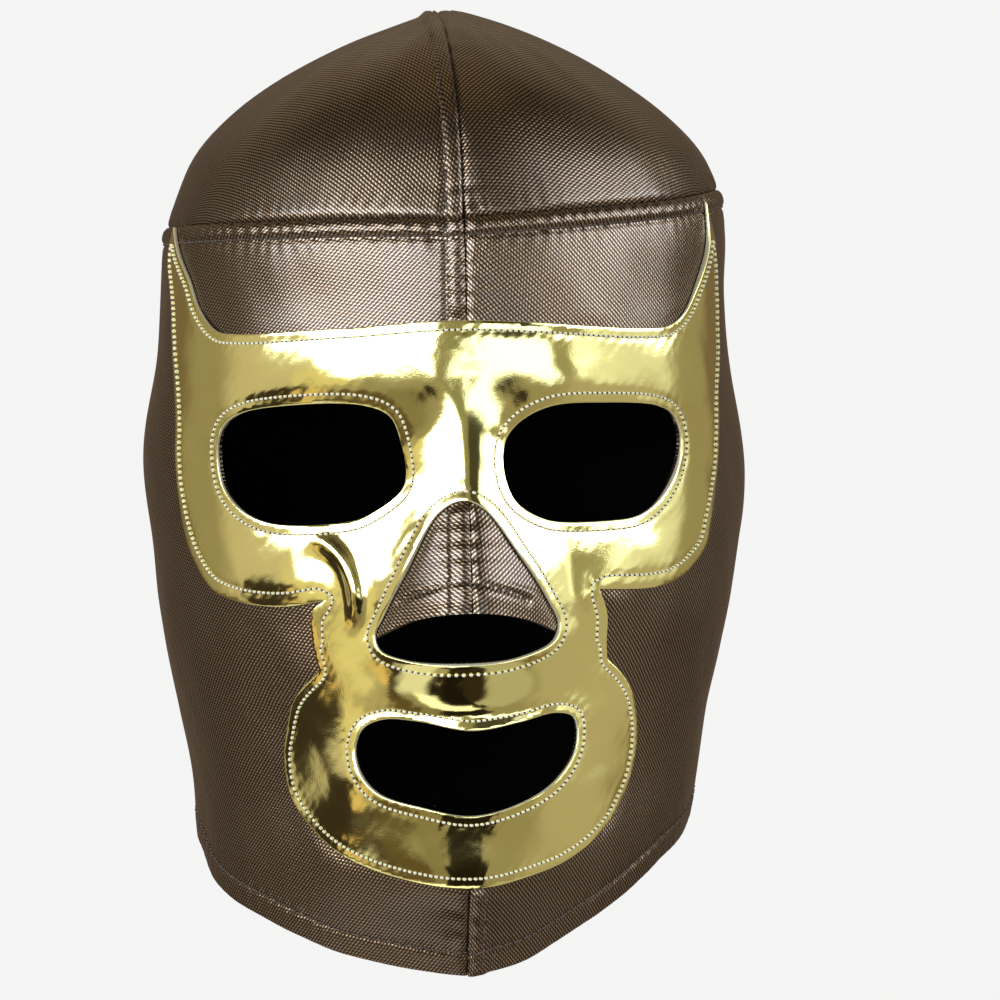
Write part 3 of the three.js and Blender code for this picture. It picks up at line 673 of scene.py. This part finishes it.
def panel_lift(points):
    """Fine relief of a cloth panel, for flat points."""
    across, drop = points[:, 0], points[:, 1]
    turn = turn_at(across)
    seam, hem = forehead_drop(turn), hem_drop(turn)
    side_way = np.abs(np.sin(np.radians(turn))) * half_width_at(turn, drop)
    below = drop - seam
    behind = np.abs(across) - across_at(SIDE_SEAM_TURN)
    in_front = np.abs(turn) < SIDE_SEAM_TURN
    lift = swells(points, CLOTH_SWELLS) + seam_roll(side_way)
    lift += seam_roll(np.abs(below)) * in_front
    lift += seam_roll(np.abs(behind)) * (drop > seam)
    crown_side = (turn < 0) & (drop < seam)
    brow_side = (turn < 0) & (drop >= seam) & (drop < TURNED_RIGHT_END)
    chin_side = (turn > 0) & (drop > TURNED_LEFT_START) & in_front
    back_side = (turn < 0) & (np.abs(turn) > 90)
    turned = crown_side | brow_side | chin_side | back_side
    for where, distance in ((turned, side_way), ((below > 0) & in_front, below),
                            ((behind > 0) & (drop > seam), behind)):
        lift += where * band(distance, ALLOWANCE, ALLOWANCE_LIFT)
    lift += band(hem - drop, HEM_DEPTH, HEM_LIFT)
    # the turned hem over the nostrils
    arch = smooth_stretch(shares_at(NOSTRIL_ARCH, 0, NOSE_DROP, NOSE_WIDTH / 2, NOSE_HEIGHT), False, MM)
    near_arch = (np.abs(across) < NOSE_WIDTH / 2) & (drop > NOSE_DROP) & (drop < NOSE_DROP + NOSE_HEIGHT)
    arch_gap = np.full(len(points), 1.0)
    arch_gap[near_arch] = nearest(points[near_arch], arch)[0]
    lift += band(arch_gap, ARCH_HEM - MM, ARCH_HEM_LIFT)
    row_gap = nearest(points, np.concatenate([respace(line, MM) for line in cloth_rows]))[0]
    furrow = np.where(hem - drop < 2 * HEM_DEPTH, HEM_FURROW, CLOTH_FURROW)
    lift -= furrow * bell(row_gap, 0, CLOTH_FURROW_WIDTH)
    lift += puckers(points, across, np.abs(below), FOREHEAD_PUCKERS) * in_front
    lift += puckers(points, drop, side_way, MIDDLE_PUCKERS)
    lift += puckers(points, across, np.abs(hem - HEM_DEPTH - drop), HEM_PUCKERS)
    # under the trim and at its edges the cloth lies flat
    edge, nose = trim_edge(MM), nose_rim(MM)
    covered = within(points, edge) & ~within(points, nose)
    free = ease(nearest(points, np.concatenate([edge, nose]))[0], *TRIM_FREE)
    return np.where(lift > 0, lift * np.where(covered, 0, free), lift)


def panel_top(points):
    return CLOTH_WALL + panel_lift(points)


# Building of pieces

def select_only(piece):
    bpy.ops.object.select_all(action="DESELECT")
    piece.select_set(True)
    bpy.context.view_layer.objects.active = piece


def new_piece(name, points, faces, materials):
    mesh = bpy.data.meshes.new(name)
    mesh.from_pydata(points, [], faces)
    mesh.polygons.foreach_set("use_smooth", np.ones(len(faces), bool))
    for material in materials:
        mesh.materials.append(material)
    piece = bpy.data.objects.new(name, mesh)
    bpy.context.scene.collection.objects.link(piece)
    return piece


def sheet_piece(name, triangles, outer, inner, uvs, materials, rim_round=0):
    """Closed sheet: outer and inner surfaces of the same flat net, joined round their rims."""
    count = len(outer)
    a, b, c = (outer[triangles[:, k]] for k in range(3))
    facing = np.cross(b - a, c - a) * (outer - inner)[triangles].mean(axis=1)
    if facing.sum() < 0:
        triangles = triangles[:, ::-1]
    edges = np.concatenate([triangles[:, [0, 1]], triangles[:, [1, 2]], triangles[:, [2, 0]]])
    keys = edges.min(axis=1) * count + edges.max(axis=1)
    _, first, times = np.unique(keys, return_index=True, return_counts=True)
    rim_edges = edges[first[times == 1]]
    quads = np.concatenate([rim_edges[:, ::-1], rim_edges + count], axis=1)
    faces = triangles.tolist() + (triangles[:, ::-1] + count).tolist() + quads.tolist()
    piece = new_piece(name, np.concatenate([outer, inner]).tolist(), faces, materials)
    mesh = piece.data
    kinds = np.repeat([0, 2, 1], [len(triangles), len(triangles), len(quads)])
    mesh.polygons.foreach_set("material_index", kinds.astype(np.int32))
    corner_points = np.empty(len(mesh.loops), np.int32)
    mesh.loops.foreach_get("vertex_index", corner_points)
    corner_uvs = np.concatenate([uvs, uvs])[corner_points]
    mesh.uv_layers.new(name="cloth").data.foreach_set("uv", corner_uvs.astype(np.float32).ravel())
    mesh.update()
    select_only(piece)
    if rim_round:
        bevel = piece.modifiers.new("rim", "BEVEL")
        bevel.width = rim_round
        bevel.segments = 2
        bevel.limit_method = "ANGLE"
        bevel.angle_limit = math.radians(RIM_ANGLE)
        bevel.harden_normals = False
        bpy.ops.object.modifier_apply(modifier="rim")
    bpy.ops.object.shade_smooth_by_angle(angle=math.radians(SMOOTH_ANGLE))
    return piece


# Pieces of cloth

def face_outline(side, spacing):
    """Flat edge of one face panel: from the middle seam to the side seam, forehead seam to hem."""
    middle = side * SEAM_GAP / 2
    reach = side * (across_at(SIDE_SEAM_TURN) - SEAM_GAP / 2)
    spans = np.linspace(0, 1, int(abs(reach) / spacing) + 1)
    top = middle + (reach - middle) * spans
    top = flat(top, forehead_drop(turn_at(top)) + SEAM_GAP / 2)
    bottom = reach - (reach - middle) * spans
    bottom = flat(bottom, hem_drop(turn_at(bottom)))
    outer_side = respace(np.array([top[-1], bottom[0]]), spacing)[1:-1]
    inner_side = respace(np.array([bottom[-1], top[0]]), spacing)[1:-1]
    return np.concatenate([top, outer_side, bottom, inner_side])


def on_nose(points, wide):
    return (np.abs(points[:, 0]) < wide) & (np.abs(points[:, 1] - NOSE_CLOTH_DROP) < NOSE_CLOTH_TALL)


def near_seams(points):
    """Which flat points of a face panel lie close to a seam, a hem or the nose."""
    turn = turn_at(points[:, 0])
    gaps = [np.abs(points[:, 0]), points[:, 1] - forehead_drop(turn), hem_drop(turn) - points[:, 1],
            across_at(SIDE_SEAM_TURN) - np.abs(points[:, 0])]
    return (np.min(gaps, axis=0) < SEAM_FINE_WIDE) | on_nose(points, NOSE_FINE_WIDE)


def cloth_places(places):
    """Place of each face point on the woven cloth in millimetres: the grain is mirrored on the nose."""
    uvs = places / MM
    uvs[on_nose(places, NOSE_CLOTH_WIDE), 0] *= -1
    return uvs


def crown_flat(points):
    """Place of each crown or back point in millimetres: sideways from the middle seam, and along it."""
    radius = 0.1
    local = points - np.array([0.0, 0.0, -radius])
    below = np.maximum(-local[:, 2], 0)
    height = np.maximum(local[:, 2], 0)
    along = np.arctan2(height, -local[:, 1])
    sideways = np.arctan2(local[:, 0], np.hypot(local[:, 1], height))
    return flat(sideways * radius, -along * radius - below) / MM


def cloth_panel(kind, side, places, triangles):
    """One half of the face, or of the crown and back, from its flat net; and the node it stands for."""
    half = "right" if side < 0 else "left"
    hem = hem_drop(turn_at(places[:, 0])) - places[:, 1]
    outer = hood_point(places, panel_top(places))
    inner = hood_point(places, band(hem, HEM_DEPTH, -HEM_FOLD))
    lean, tint = CLOTHS[kind]
    name = f"cloth_{kind}_{half}"
    cloth = twill_cloth(name + "_lame", side * lean, tint)
    uvs = cloth_places(places) if kind == "face" else crown_flat(outer)
    return sheet_piece(name, triangles, outer, inner, uvs, [cloth, cloth, backing_and_inner_shade]), f"{kind}_panel_{half}"


def face_panel(side):
    openings = [eye_rim(side, FACE_EDGE_STEP, EDGE_SETBACK), nostril_rim(FACE_EDGE_STEP, EDGE_SETBACK),
                mouth_rim(FACE_EDGE_STEP, EDGE_SETBACK)]
    places, triangles = flat_net(face_outline(side, FACE_EDGE_STEP), openings, FACE_STEP, near_seams,
                                 FACE_FINE_STEP)
    return cloth_panel("face", side, places, triangles)


def graded(length, step, edge_step, edge):
    """Places from 0 to 1 along a length, with small steps near its end."""
    plain = np.linspace(0, length - edge, max(2, int((length - edge) / step) + 1))
    fine = np.linspace(length - edge, length, int(edge / edge_step) + 1)[1:]
    return np.concatenate([plain, fine]) / length


def turns_between(start, end):
    """Turns from one seam to the next, closer together near both."""
    half = (end - start) / 2
    shares = half * graded(half, *TURN_NET)
    return np.concatenate([start + half - shares[::-1], start + half + shares[1:]])


def strip(upper, lower):
    """Triangles between two columns of point numbers."""
    triangles = []
    for a, b, c, d in zip(upper[:-1], upper[1:], lower[1:], lower[:-1]):
        triangles += [(a, b, c), (a, c, d)]
    return triangles


def back_panel(side):
    """Crown and back half: rows from the crown down to the forehead seam, and on to the hem behind."""
    front_turns = turns_between(0, SIDE_SEAM_TURN)
    turns = side * np.concatenate([front_turns, turns_between(SIDE_SEAM_TURN, 180)[1:]])
    first_back = len(front_turns) - 1
    seam = forehead_drop(turns)
    crown_rows = graded(*CROWN_NET)[1:] ** CROWN_CROWDING
    back_rows = graded(*BACK_NET)[1:]
    seam_side = side * (across_at(SIDE_SEAM_TURN) + SEAM_GAP / 2)
    places = [(0.0, 0.0)]
    columns = []
    for column, turn in enumerate(turns):
        across = across_at(turn) if column != first_back else seam_side
        end = seam[column] - (SEAM_GAP / 2 if column <= first_back else 0)
        drops = (crown_rows * end).tolist()
        if column >= first_back:
            drops += (end + back_rows * (float(hem_drop(turn)) - end)).tolist()
        columns.append(list(range(len(places), len(places) + len(drops))))
        places += [(across, drop) for drop in drops]
    triangles = []
    for upper, lower in zip(columns[:-1], columns[1:]):
        shared = len(upper) if len(upper) == len(lower) else len(crown_rows)
        triangles.append((0, upper[0], lower[0]))
        triangles += strip(upper[:shared], lower[:shared])
    return cloth_panel("back", side, np.array(places), np.array(triangles))


def seam_tape(name, lines):
    """Turned-in cloth behind a seam, inside the hood: flat lines side by side, made one closed strip."""
    grid = np.stack(lines, axis=1)
    places = grid.reshape(-1, 2)
    numbers = np.arange(len(places)).reshape(grid.shape[:2])
    a, b = numbers[:-1, :-1].ravel(), numbers[1:, :-1].ravel()
    c, d = numbers[1:, 1:].ravel(), numbers[:-1, 1:].ravel()
    triangles = np.concatenate([np.stack([a, b, c], axis=1), np.stack([a, c, d], axis=1)])
    outer, inner = hood_point(places, TAPE_TOP), hood_point(places, TAPE_UNDER)
    return sheet_piece("tape_" + name, triangles, outer, inner, places / MM, [backing_and_inner_shade] * 3)


def seam_tapes():
    """The strips behind the middle, forehead and side seams, above the hem and clear of the openings."""
    offsets = np.linspace(-TAPE_WIDTH / 2, TAPE_WIDTH / 2, 5)
    tapes = []
    for name, (top, bottom, behind) in MIDDLE_TAPES.items():
        drops = np.linspace(top, bottom, max(6, int((bottom - top) / (3 * MM))))
        lines = [beside_middle(drops, offset) for offset in offsets]
        if behind:
            lines = [flat(across_at(180) - line[:, 0], drops) for line in lines]
        tapes.append(seam_tape(name, lines))
    turns = np.linspace(-SIDE_SEAM_TURN + 3, SIDE_SEAM_TURN - 3, 120)
    tapes.append(seam_tape("forehead", [flat(across_at(turns), forehead_drop(turns) + offset)
                                        for offset in offsets]))
    for side, name in ((-1, "side_right"), (1, "side_left")):
        turn = side * SIDE_SEAM_TURN
        drops = np.linspace(float(forehead_drop(turn)) - 4 * MM, float(hem_drop(turn)) - HEM_DEPTH - MM, 60)
        tapes.append(seam_tape(name, [flat(np.full_like(drops, across_at(turn) + offset), drops)
                                      for offset in offsets]))
    return tapes


# The trim

def trim_openings(spacing):
    return [eye_rim(-1, spacing), eye_rim(1, spacing), nose_rim(spacing), mouth_rim(spacing)]


def lobe_share(points):
    """1 at the lower edges of the cheek lobes, where the stitching runs further in, 0 elsewhere."""
    across, drop = np.abs(points[:, 0]), points[:, 1]
    return ease(across, 36 * MM, 48 * MM) * ease(drop, 140 * MM, 160 * MM) * (drop < 190 * MM)


def trim_stitch_lines():
    """Stitch rows of the trim, closed, as flat lines beside its edges."""
    edge = trim_edge(MM)
    lines = [inset_line(edge, TRIM_STITCH_INSET + (LOBE_STITCH_INSET - TRIM_STITCH_INSET) * lobe_share(edge))]
    for opening in trim_openings(MM):
        lines.append(inset_line(opening, np.full(len(opening), -TRIM_STITCH_INSET)))
    return [np.concatenate([line, line[:1]]) for line in lines]


def trim_lift(points):
    """Soft swells, dents, folds, puckers and stitch furrows of the trim, for flat points."""
    across, drop = points[:, 0], points[:, 1]
    lift = swells(points, TRIM_SWELLS)
    for depth, middle, wide, level, tall in TRIM_DENTS:
        lift += depth * bell(across, middle, wide) * bell(drop, level, tall)
    for height, width, rows in TRIM_FOLDS:
        ridge = smooth_stretch(np.array(rows) * MM, False, MM)
        gap, place = nearest(points, ridge)
        along = place / (len(ridge) - 1)
        lift += height * ease(along, 0, FOLD_TAPER) * ease(1 - along, 0, FOLD_TAPER) * bell(gap, 0, width)
    row_gap = nearest(points, np.concatenate(trim_rows))[0]
    lift -= FURROW_DEPTH * bell(row_gap, 0, FURROW_WIDTH)
    lift += puckers(points, across + drop, row_gap, TRIM_PUCKERS)
    return np.maximum(lift, TRIM_SEAT - TRIM_TOP + LEAST_TRIM)


def trim_top(points):
    return TRIM_TOP + trim_lift(points)


def face_trim():
    places, triangles = flat_net(trim_edge(TRIM_EDGE_STEP), trim_openings(TRIM_EDGE_STEP), TRIM_STEP)
    outer, inner = hood_point(places, trim_top(places)), hood_point(places, TRIM_SEAT)
    return sheet_piece("gold_trim", triangles, outer, inner, places / MM, [gold_foil, gold_cut, backing_and_inner_shade],
                       RIM_ROUND)


# Stitches

def one_stitch(length, radius):
    """Points and faces of one thread stitch along X, pulled down at both ends."""
    bpy.ops.mesh.primitive_cylinder_add(vertices=6, radius=radius, depth=length, rotation=(0, math.pi / 2, 0))
    stitch = bpy.context.active_object
    select_only(stitch)
    bpy.ops.object.transform_apply(location=False, rotation=True, scale=False)
    bpy.ops.object.mode_set(mode="EDIT")
    for place in STITCH_CUTS:
        bpy.ops.mesh.select_all(action="SELECT")
        bpy.ops.mesh.bisect(plane_co=(place * length, 0, 0), plane_no=(1, 0, 0))
    bpy.ops.object.mode_set(mode="OBJECT")
    points, faces = taken_apart(stitch)
    share = np.abs(points[:, 0]) / (length / 2)
    points[:, 1:] *= (1 - STITCH_TAPER * share ** 3)[:, None]
    points[:, 2] += radius * (STITCH_RISE - STITCH_DIP * share ** 2.5)
    return points, faces


def needle_hole_shade_plug(radius):
    """Points and faces of a shallow six-sided plug at the pit where the thread goes down, dark as painted
    shade of that pit.
    """
    bpy.ops.mesh.primitive_cylinder_add(vertices=6, radius=radius, depth=radius)
    return taken_apart(bpy.context.active_object)


def taken_apart(model):
    """Points and faces of an object, which is deleted."""
    points = np.array([tuple(v.co) for v in model.data.vertices])
    faces = [tuple(face.vertices) for face in model.data.polygons]
    bpy.data.objects.remove(model, do_unlink=True)
    return points, faces


def sewn_row(name, model, lines, height, pitch, material, between=False, slant=0.0):
    """Row of equal copies along flat lines, each at its place's height out from the hood."""
    model_points, model_faces = model
    points = []
    faces = []
    for line in lines:
        line = respace(line, pitch)
        middles = line[1:-1] if between else (line[:-1] + line[1:]) / 2
        steps = (line[2:] - line[:-2]) / 2 if between else line[1:] - line[:-1]
        steps = (steps + slant * flat(-steps[:, 1], steps[:, 0])) * STITCH_HEADING
        out = height(middles)
        centres = hood_point(middles, out)
        alongs = hood_point(middles + steps, out) - hood_point(middles - steps, out)
        ups = hood_point(middles, out + MM) - centres
        for centre, along, up in zip(centres, alongs, ups):
            along = along / max(np.linalg.norm(along), 1e-12)
            up = up - along * np.dot(up, along)
            up = up / max(np.linalg.norm(up), 1e-12)
            base = len(points)
            points.extend((centre + model_points @ np.array([along, np.cross(up, along), up])).tolist())
            faces += [tuple(base + corner for corner in face) for face in model_faces]
    return new_piece(name, points, faces, [material])


# Materials

class NodeNet:
    """The node tree of a material or the world, with a short way to add each usual node."""

    def __init__(self, owner):
        owner.use_nodes = True
        self.nodes = owner.node_tree.nodes
        self.links = owner.node_tree.links
        self.nodes.clear()

    def add(self, kind, inputs):
        return self.fill(self.nodes.new("ShaderNode" + kind), inputs)

    def fill(self, node, inputs):
        for socket, value in inputs.items():
            if isinstance(value, bpy.types.NodeSocket):
                self.links.new(value, node.inputs[socket])
            else:
                node.inputs[socket].default_value = value
        return node

    def calc(self, kind, *values):
        node = self.add("Math", dict(enumerate(values)))
        node.operation = kind
        return node.outputs[0]

    def mix(self, factor, first, second):
        node = self.nodes.new("ShaderNodeMix")
        node.data_type = "RGBA"
        return self.fill(node, {0: factor, 6: first, 7: second}).outputs[2]

    def noise(self, vector, scale, detail=2.0, roughness=0.5):
        return self.add("TexNoise", {"Vector": vector, "Scale": scale, "Detail": detail,
                                     "Roughness": roughness}).outputs["Fac"]

    def wave(self, place, pitch):
        """Even waves between 0 and 1."""
        wave = self.calc("SINE", self.calc("MULTIPLY", place, 2 * math.pi / pitch))
        return self.calc("MULTIPLY_ADD", wave, 0.5, 0.5)

    def cloth_place(self):
        """Flat place on the cloth in millimetres."""
        node = self.add("UVMap", {})
        node.uv_map = "cloth"
        return node.outputs["UV"]

    def bump(self, height, strength, distance):
        return self.add("Bump", {"Height": height, "Strength": strength,
                                 "Distance": distance}).outputs["Normal"]

    def shade(self, inputs):
        shader = self.add("BsdfPrincipled", inputs)
        self.add("OutputMaterial", {"Surface": shader.outputs["BSDF"]})


def scaled(tint, factor):
    """Colour with its brightness multiplied, up to white."""
    return tuple(min(1, c * factor) for c in tint[:3]) + (1,)


def twill_cloth(name, lean, tint):
    """Lame twill: bright metal threads in diagonal ribs over a dark ground."""
    material = bpy.data.materials.new(name)
    net = NodeNet(material)
    place = net.cloth_place()
    turned = net.add("VectorRotate", {"Vector": place, "Angle": math.radians(lean)})
    turned.rotation_type = "Z_AXIS"
    split = net.add("SeparateXYZ", {0: turned.outputs["Vector"]})
    wander = net.noise(place, 0.06)
    rib_place = net.calc("MULTIPLY_ADD", wander, 1.2, split.outputs["X"])
    rib = net.wave(rib_place, TWILL_PITCH)
    thread = net.wave(net.calc("MULTIPLY_ADD", rib_place, 0.8, split.outputs["Y"]), THREAD_PITCH)
    speck = net.noise(place, 1.1, 3, 0.65)
    weave = net.calc("MULTIPLY", rib, net.calc("MULTIPLY_ADD", thread, 0.65, 0.35))
    weave = net.calc("MULTIPLY", weave, net.calc("MULTIPLY_ADD", speck, 1.2, 0.4))
    bright = net.calc("SMOOTH_MIN", weave, 1.0, 0.05)
    cloudy = net.noise(place, 0.018, 3)
    rough = net.calc("MULTIPLY_ADD", cloudy, 0.10, 0.27)
    net.shade({
        "Base Color": net.mix(bright, scaled(tint, CLOTH_GROUND), scaled(tint, 1)),
        "Metallic": 0.9,
        "Roughness": net.calc("MULTIPLY_ADD", weave, -0.08, rough),
        "Coat Weight": bright,
        "Coat Roughness": 0.24,
        "Coat IOR": CLOTH_GLOSS_IOR,
        "Normal": net.bump(weave, 0.40, 0.22 * MM),
    })
    return material


def foil(name, tint, roughness):
    """Thin gold foil on vinyl: nearly a mirror, with faint ripples and rubbed spots."""
    material = bpy.data.materials.new(name)
    net = NodeNet(material)
    place = net.cloth_place()
    rubbed = net.noise(place, 0.05, 4)
    height = net.calc("MULTIPLY_ADD", net.noise(place, 1.6), 0.10, net.noise(place, 0.12))
    net.shade({
        "Base Color": net.mix(rubbed, tint, scaled(tint, 1.08)),
        "Metallic": 1.0,
        "Roughness": net.calc("MULTIPLY_ADD", rubbed, 0.10, roughness - 0.05),
        "Normal": net.bump(height, 0.20, 0.5 * MM),
    })
    return material


def plain_material(name, tint, roughness, metallic=0.0, specular=0.5):
    material = bpy.data.materials.new(name)
    net = NodeNet(material)
    fleck = net.noise(net.add("TexCoord", {}).outputs["Object"], 900)
    net.shade({
        "Base Color": net.mix(fleck, scaled(tint, 0.8), tint),
        "Roughness": roughness,
        "Metallic": metallic,
        "Specular IOR Level": specular,
    })
    return material


gold_foil = foil("gold_foil", (0.94, 0.86, 0.35, 1), 0.09)
gold_cut = plain_material("gold_cut_edge", (0.80, 0.74, 0.50, 1), 0.4, 0.6)
# near-black inside of the hood, its tapes and the trim's underside: a dark lining, made blacker than any
# cloth as painted shade of the hollow inside
backing_and_inner_shade = plain_material("black_backing_and_painted_shade", (0.0022, 0.0020, 0.0018, 1), 1.0, specular=0.05)
cream_thread = plain_material("cream_thread", (0.62, 0.57, 0.40, 1), 0.5)
brown_thread = plain_material("brown_thread", (0.055, 0.036, 0.024, 1), 0.5)
# painted shade of the needle holes, on the dark plugs between the trim stitches
hole_shade = plain_material("needle_hole_shade", (0.035, 0.026, 0.012, 1), 0.8)


# Pieces


def dress(piece, slot_of, stands_in=False):
    """Make a piece ride the part, and stand in for a node, hiding its part, if it does."""
    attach(piece, "root")
    if stands_in:
        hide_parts(slot_of)


trim_rows = trim_stitch_lines()
cloth_rows = cloth_seam_lines()
for side in (-1, 1):
    for build in (face_panel, back_panel):
        piece, node = build(side)
        dress(piece, node, stands_in=True)

trim = face_trim()
dress(trim, "face_trim", stands_in=True)

trim_stitch = one_stitch(TRIM_STITCH_LENGTH, TRIM_STITCH_RADIUS)
dress(sewn_row("trim_stitches", trim_stitch, trim_rows, trim_top, TRIM_PITCH, cream_thread, slant=0.12),
      "face_trim")
# dark plugs between the trim stitches: painted shade in the needle holes
dress(sewn_row("trim_needle_hole_painted_shade", needle_hole_shade_plug(HOLE_RADIUS), trim_rows, trim_top, TRIM_PITCH, hole_shade,
               between=True), "face_trim")
cloth_stitch = one_stitch(CLOTH_STITCH_LENGTH, CLOTH_STITCH_RADIUS)
dress(sewn_row("cloth_stitches", cloth_stitch, cloth_rows, panel_top, CLOTH_PITCH, brown_thread, slant=0.1),
      "face_panel_left")
tapes = seam_tapes()
for tape in tapes:
    dress(tape, "face_panel_left")


# Camera, stage and light

def set_camera():
    yaw, rise, roll = (math.radians(v) for v in (-CAMERA_YAW, CAMERA_RISE, CAMERA_ROLL))
    back = Vector((math.sin(yaw) * math.cos(rise), -math.cos(yaw) * math.cos(rise), math.sin(rise)))
    aim = Vector((0, 0, -AIM_DROP))
    place = aim + back * CAMERA_DISTANCE
    level = Vector((0, 0, 1)).cross(back).normalized()
    upright = back.cross(level)
    right = level * math.cos(roll) - upright * math.sin(roll)
    up = upright * math.cos(roll) + level * math.sin(roll)
    look = aim - right * AIM_SHARE[0] * FRAME_SIDE - up * AIM_SHARE[1] * FRAME_SIDE
    back = (place - look).normalized()
    right = up.cross(back).normalized()
    up = back.cross(right)
    data = bpy.data.cameras.new("camera")
    data.sensor_width = FILM_WIDTH
    data.sensor_fit = "HORIZONTAL"
    data.angle = 2 * math.atan(FRAME_SIDE / 2 / CAMERA_DISTANCE)
    data.clip_end = FAR_CLIP
    camera = bpy.data.objects.new("camera", data)
    camera.matrix_world = Matrix.Translation(place) @ Matrix((right, up, back)).transposed().to_4x4()
    bpy.context.scene.collection.objects.link(camera)
    bpy.context.scene.camera = camera


def span_mask(net, value, low, high, blur):
    """1 between low and high, soft over the blur at both ends."""
    middle, half = (low + high) / 2, (high - low) / 2
    gap = net.calc("ABSOLUTE", net.calc("SUBTRACT", value, middle))
    node = net.add("MapRange", {"Value": gap, "From Min": half + blur, "From Max": half - blur})
    node.interpolation_type = "SMOOTHSTEP"
    return node.outputs["Result"]


def set_world():
    """Pale room, with the soft boxes and dark flags of a studio as the foil and the lame see them."""
    world = bpy.data.worlds.new("studio")
    bpy.context.scene.world = world
    net = NodeNet(world)
    way = net.add("SeparateXYZ", {0: net.add("TexCoord", {}).outputs["Generated"]}).outputs
    ahead = net.calc("MULTIPLY", way["Y"], -1.0)
    azimuth = net.calc("DEGREES", net.calc("ARCTAN2", way["X"], ahead))
    elevation = net.calc("DEGREES", net.calc("ARCSINE", way["Z"]))
    colour = STUDIO_GREY
    for left, right, low, high, blur, tint, power in STUDIO:
        mask = net.calc("MULTIPLY", span_mask(net, azimuth, left, right, blur),
                        span_mask(net, elevation, low, high, blur))
        colour = net.mix(mask, colour, tuple(c * power for c in tint) + (1,))
    room = net.add("Background", {"Color": colour}).outputs[0]
    paper = net.add("Background", {"Color": PAPER}).outputs[0]
    seen = net.add("LightPath", {}).outputs["Is Camera Ray"]
    sky = net.add("MixShader", {"Fac": seen, 1: room, 2: paper})
    net.add("OutputWorld", {"Surface": sky.outputs[0]})


def set_stage():
    bpy.ops.mesh.primitive_plane_add(size=FLOOR_SIDE, location=(0, 0, -FLOOR_DROP))
    floor = bpy.context.active_object
    select_only(floor)
    bpy.ops.object.transform_apply(location=True)
    floor.name = "floor"
    floor.visible_glossy = False
    paper = bpy.data.materials.new("floor_paper")
    NodeNet(paper).shade({"Base Color": (0.80, 0.80, 0.79, 1), "Roughness": 0.8})
    floor.data.materials.append(paper)


set_camera()
set_world()
set_stage()
bpy.context.scene.view_settings.view_transform = "Standard"
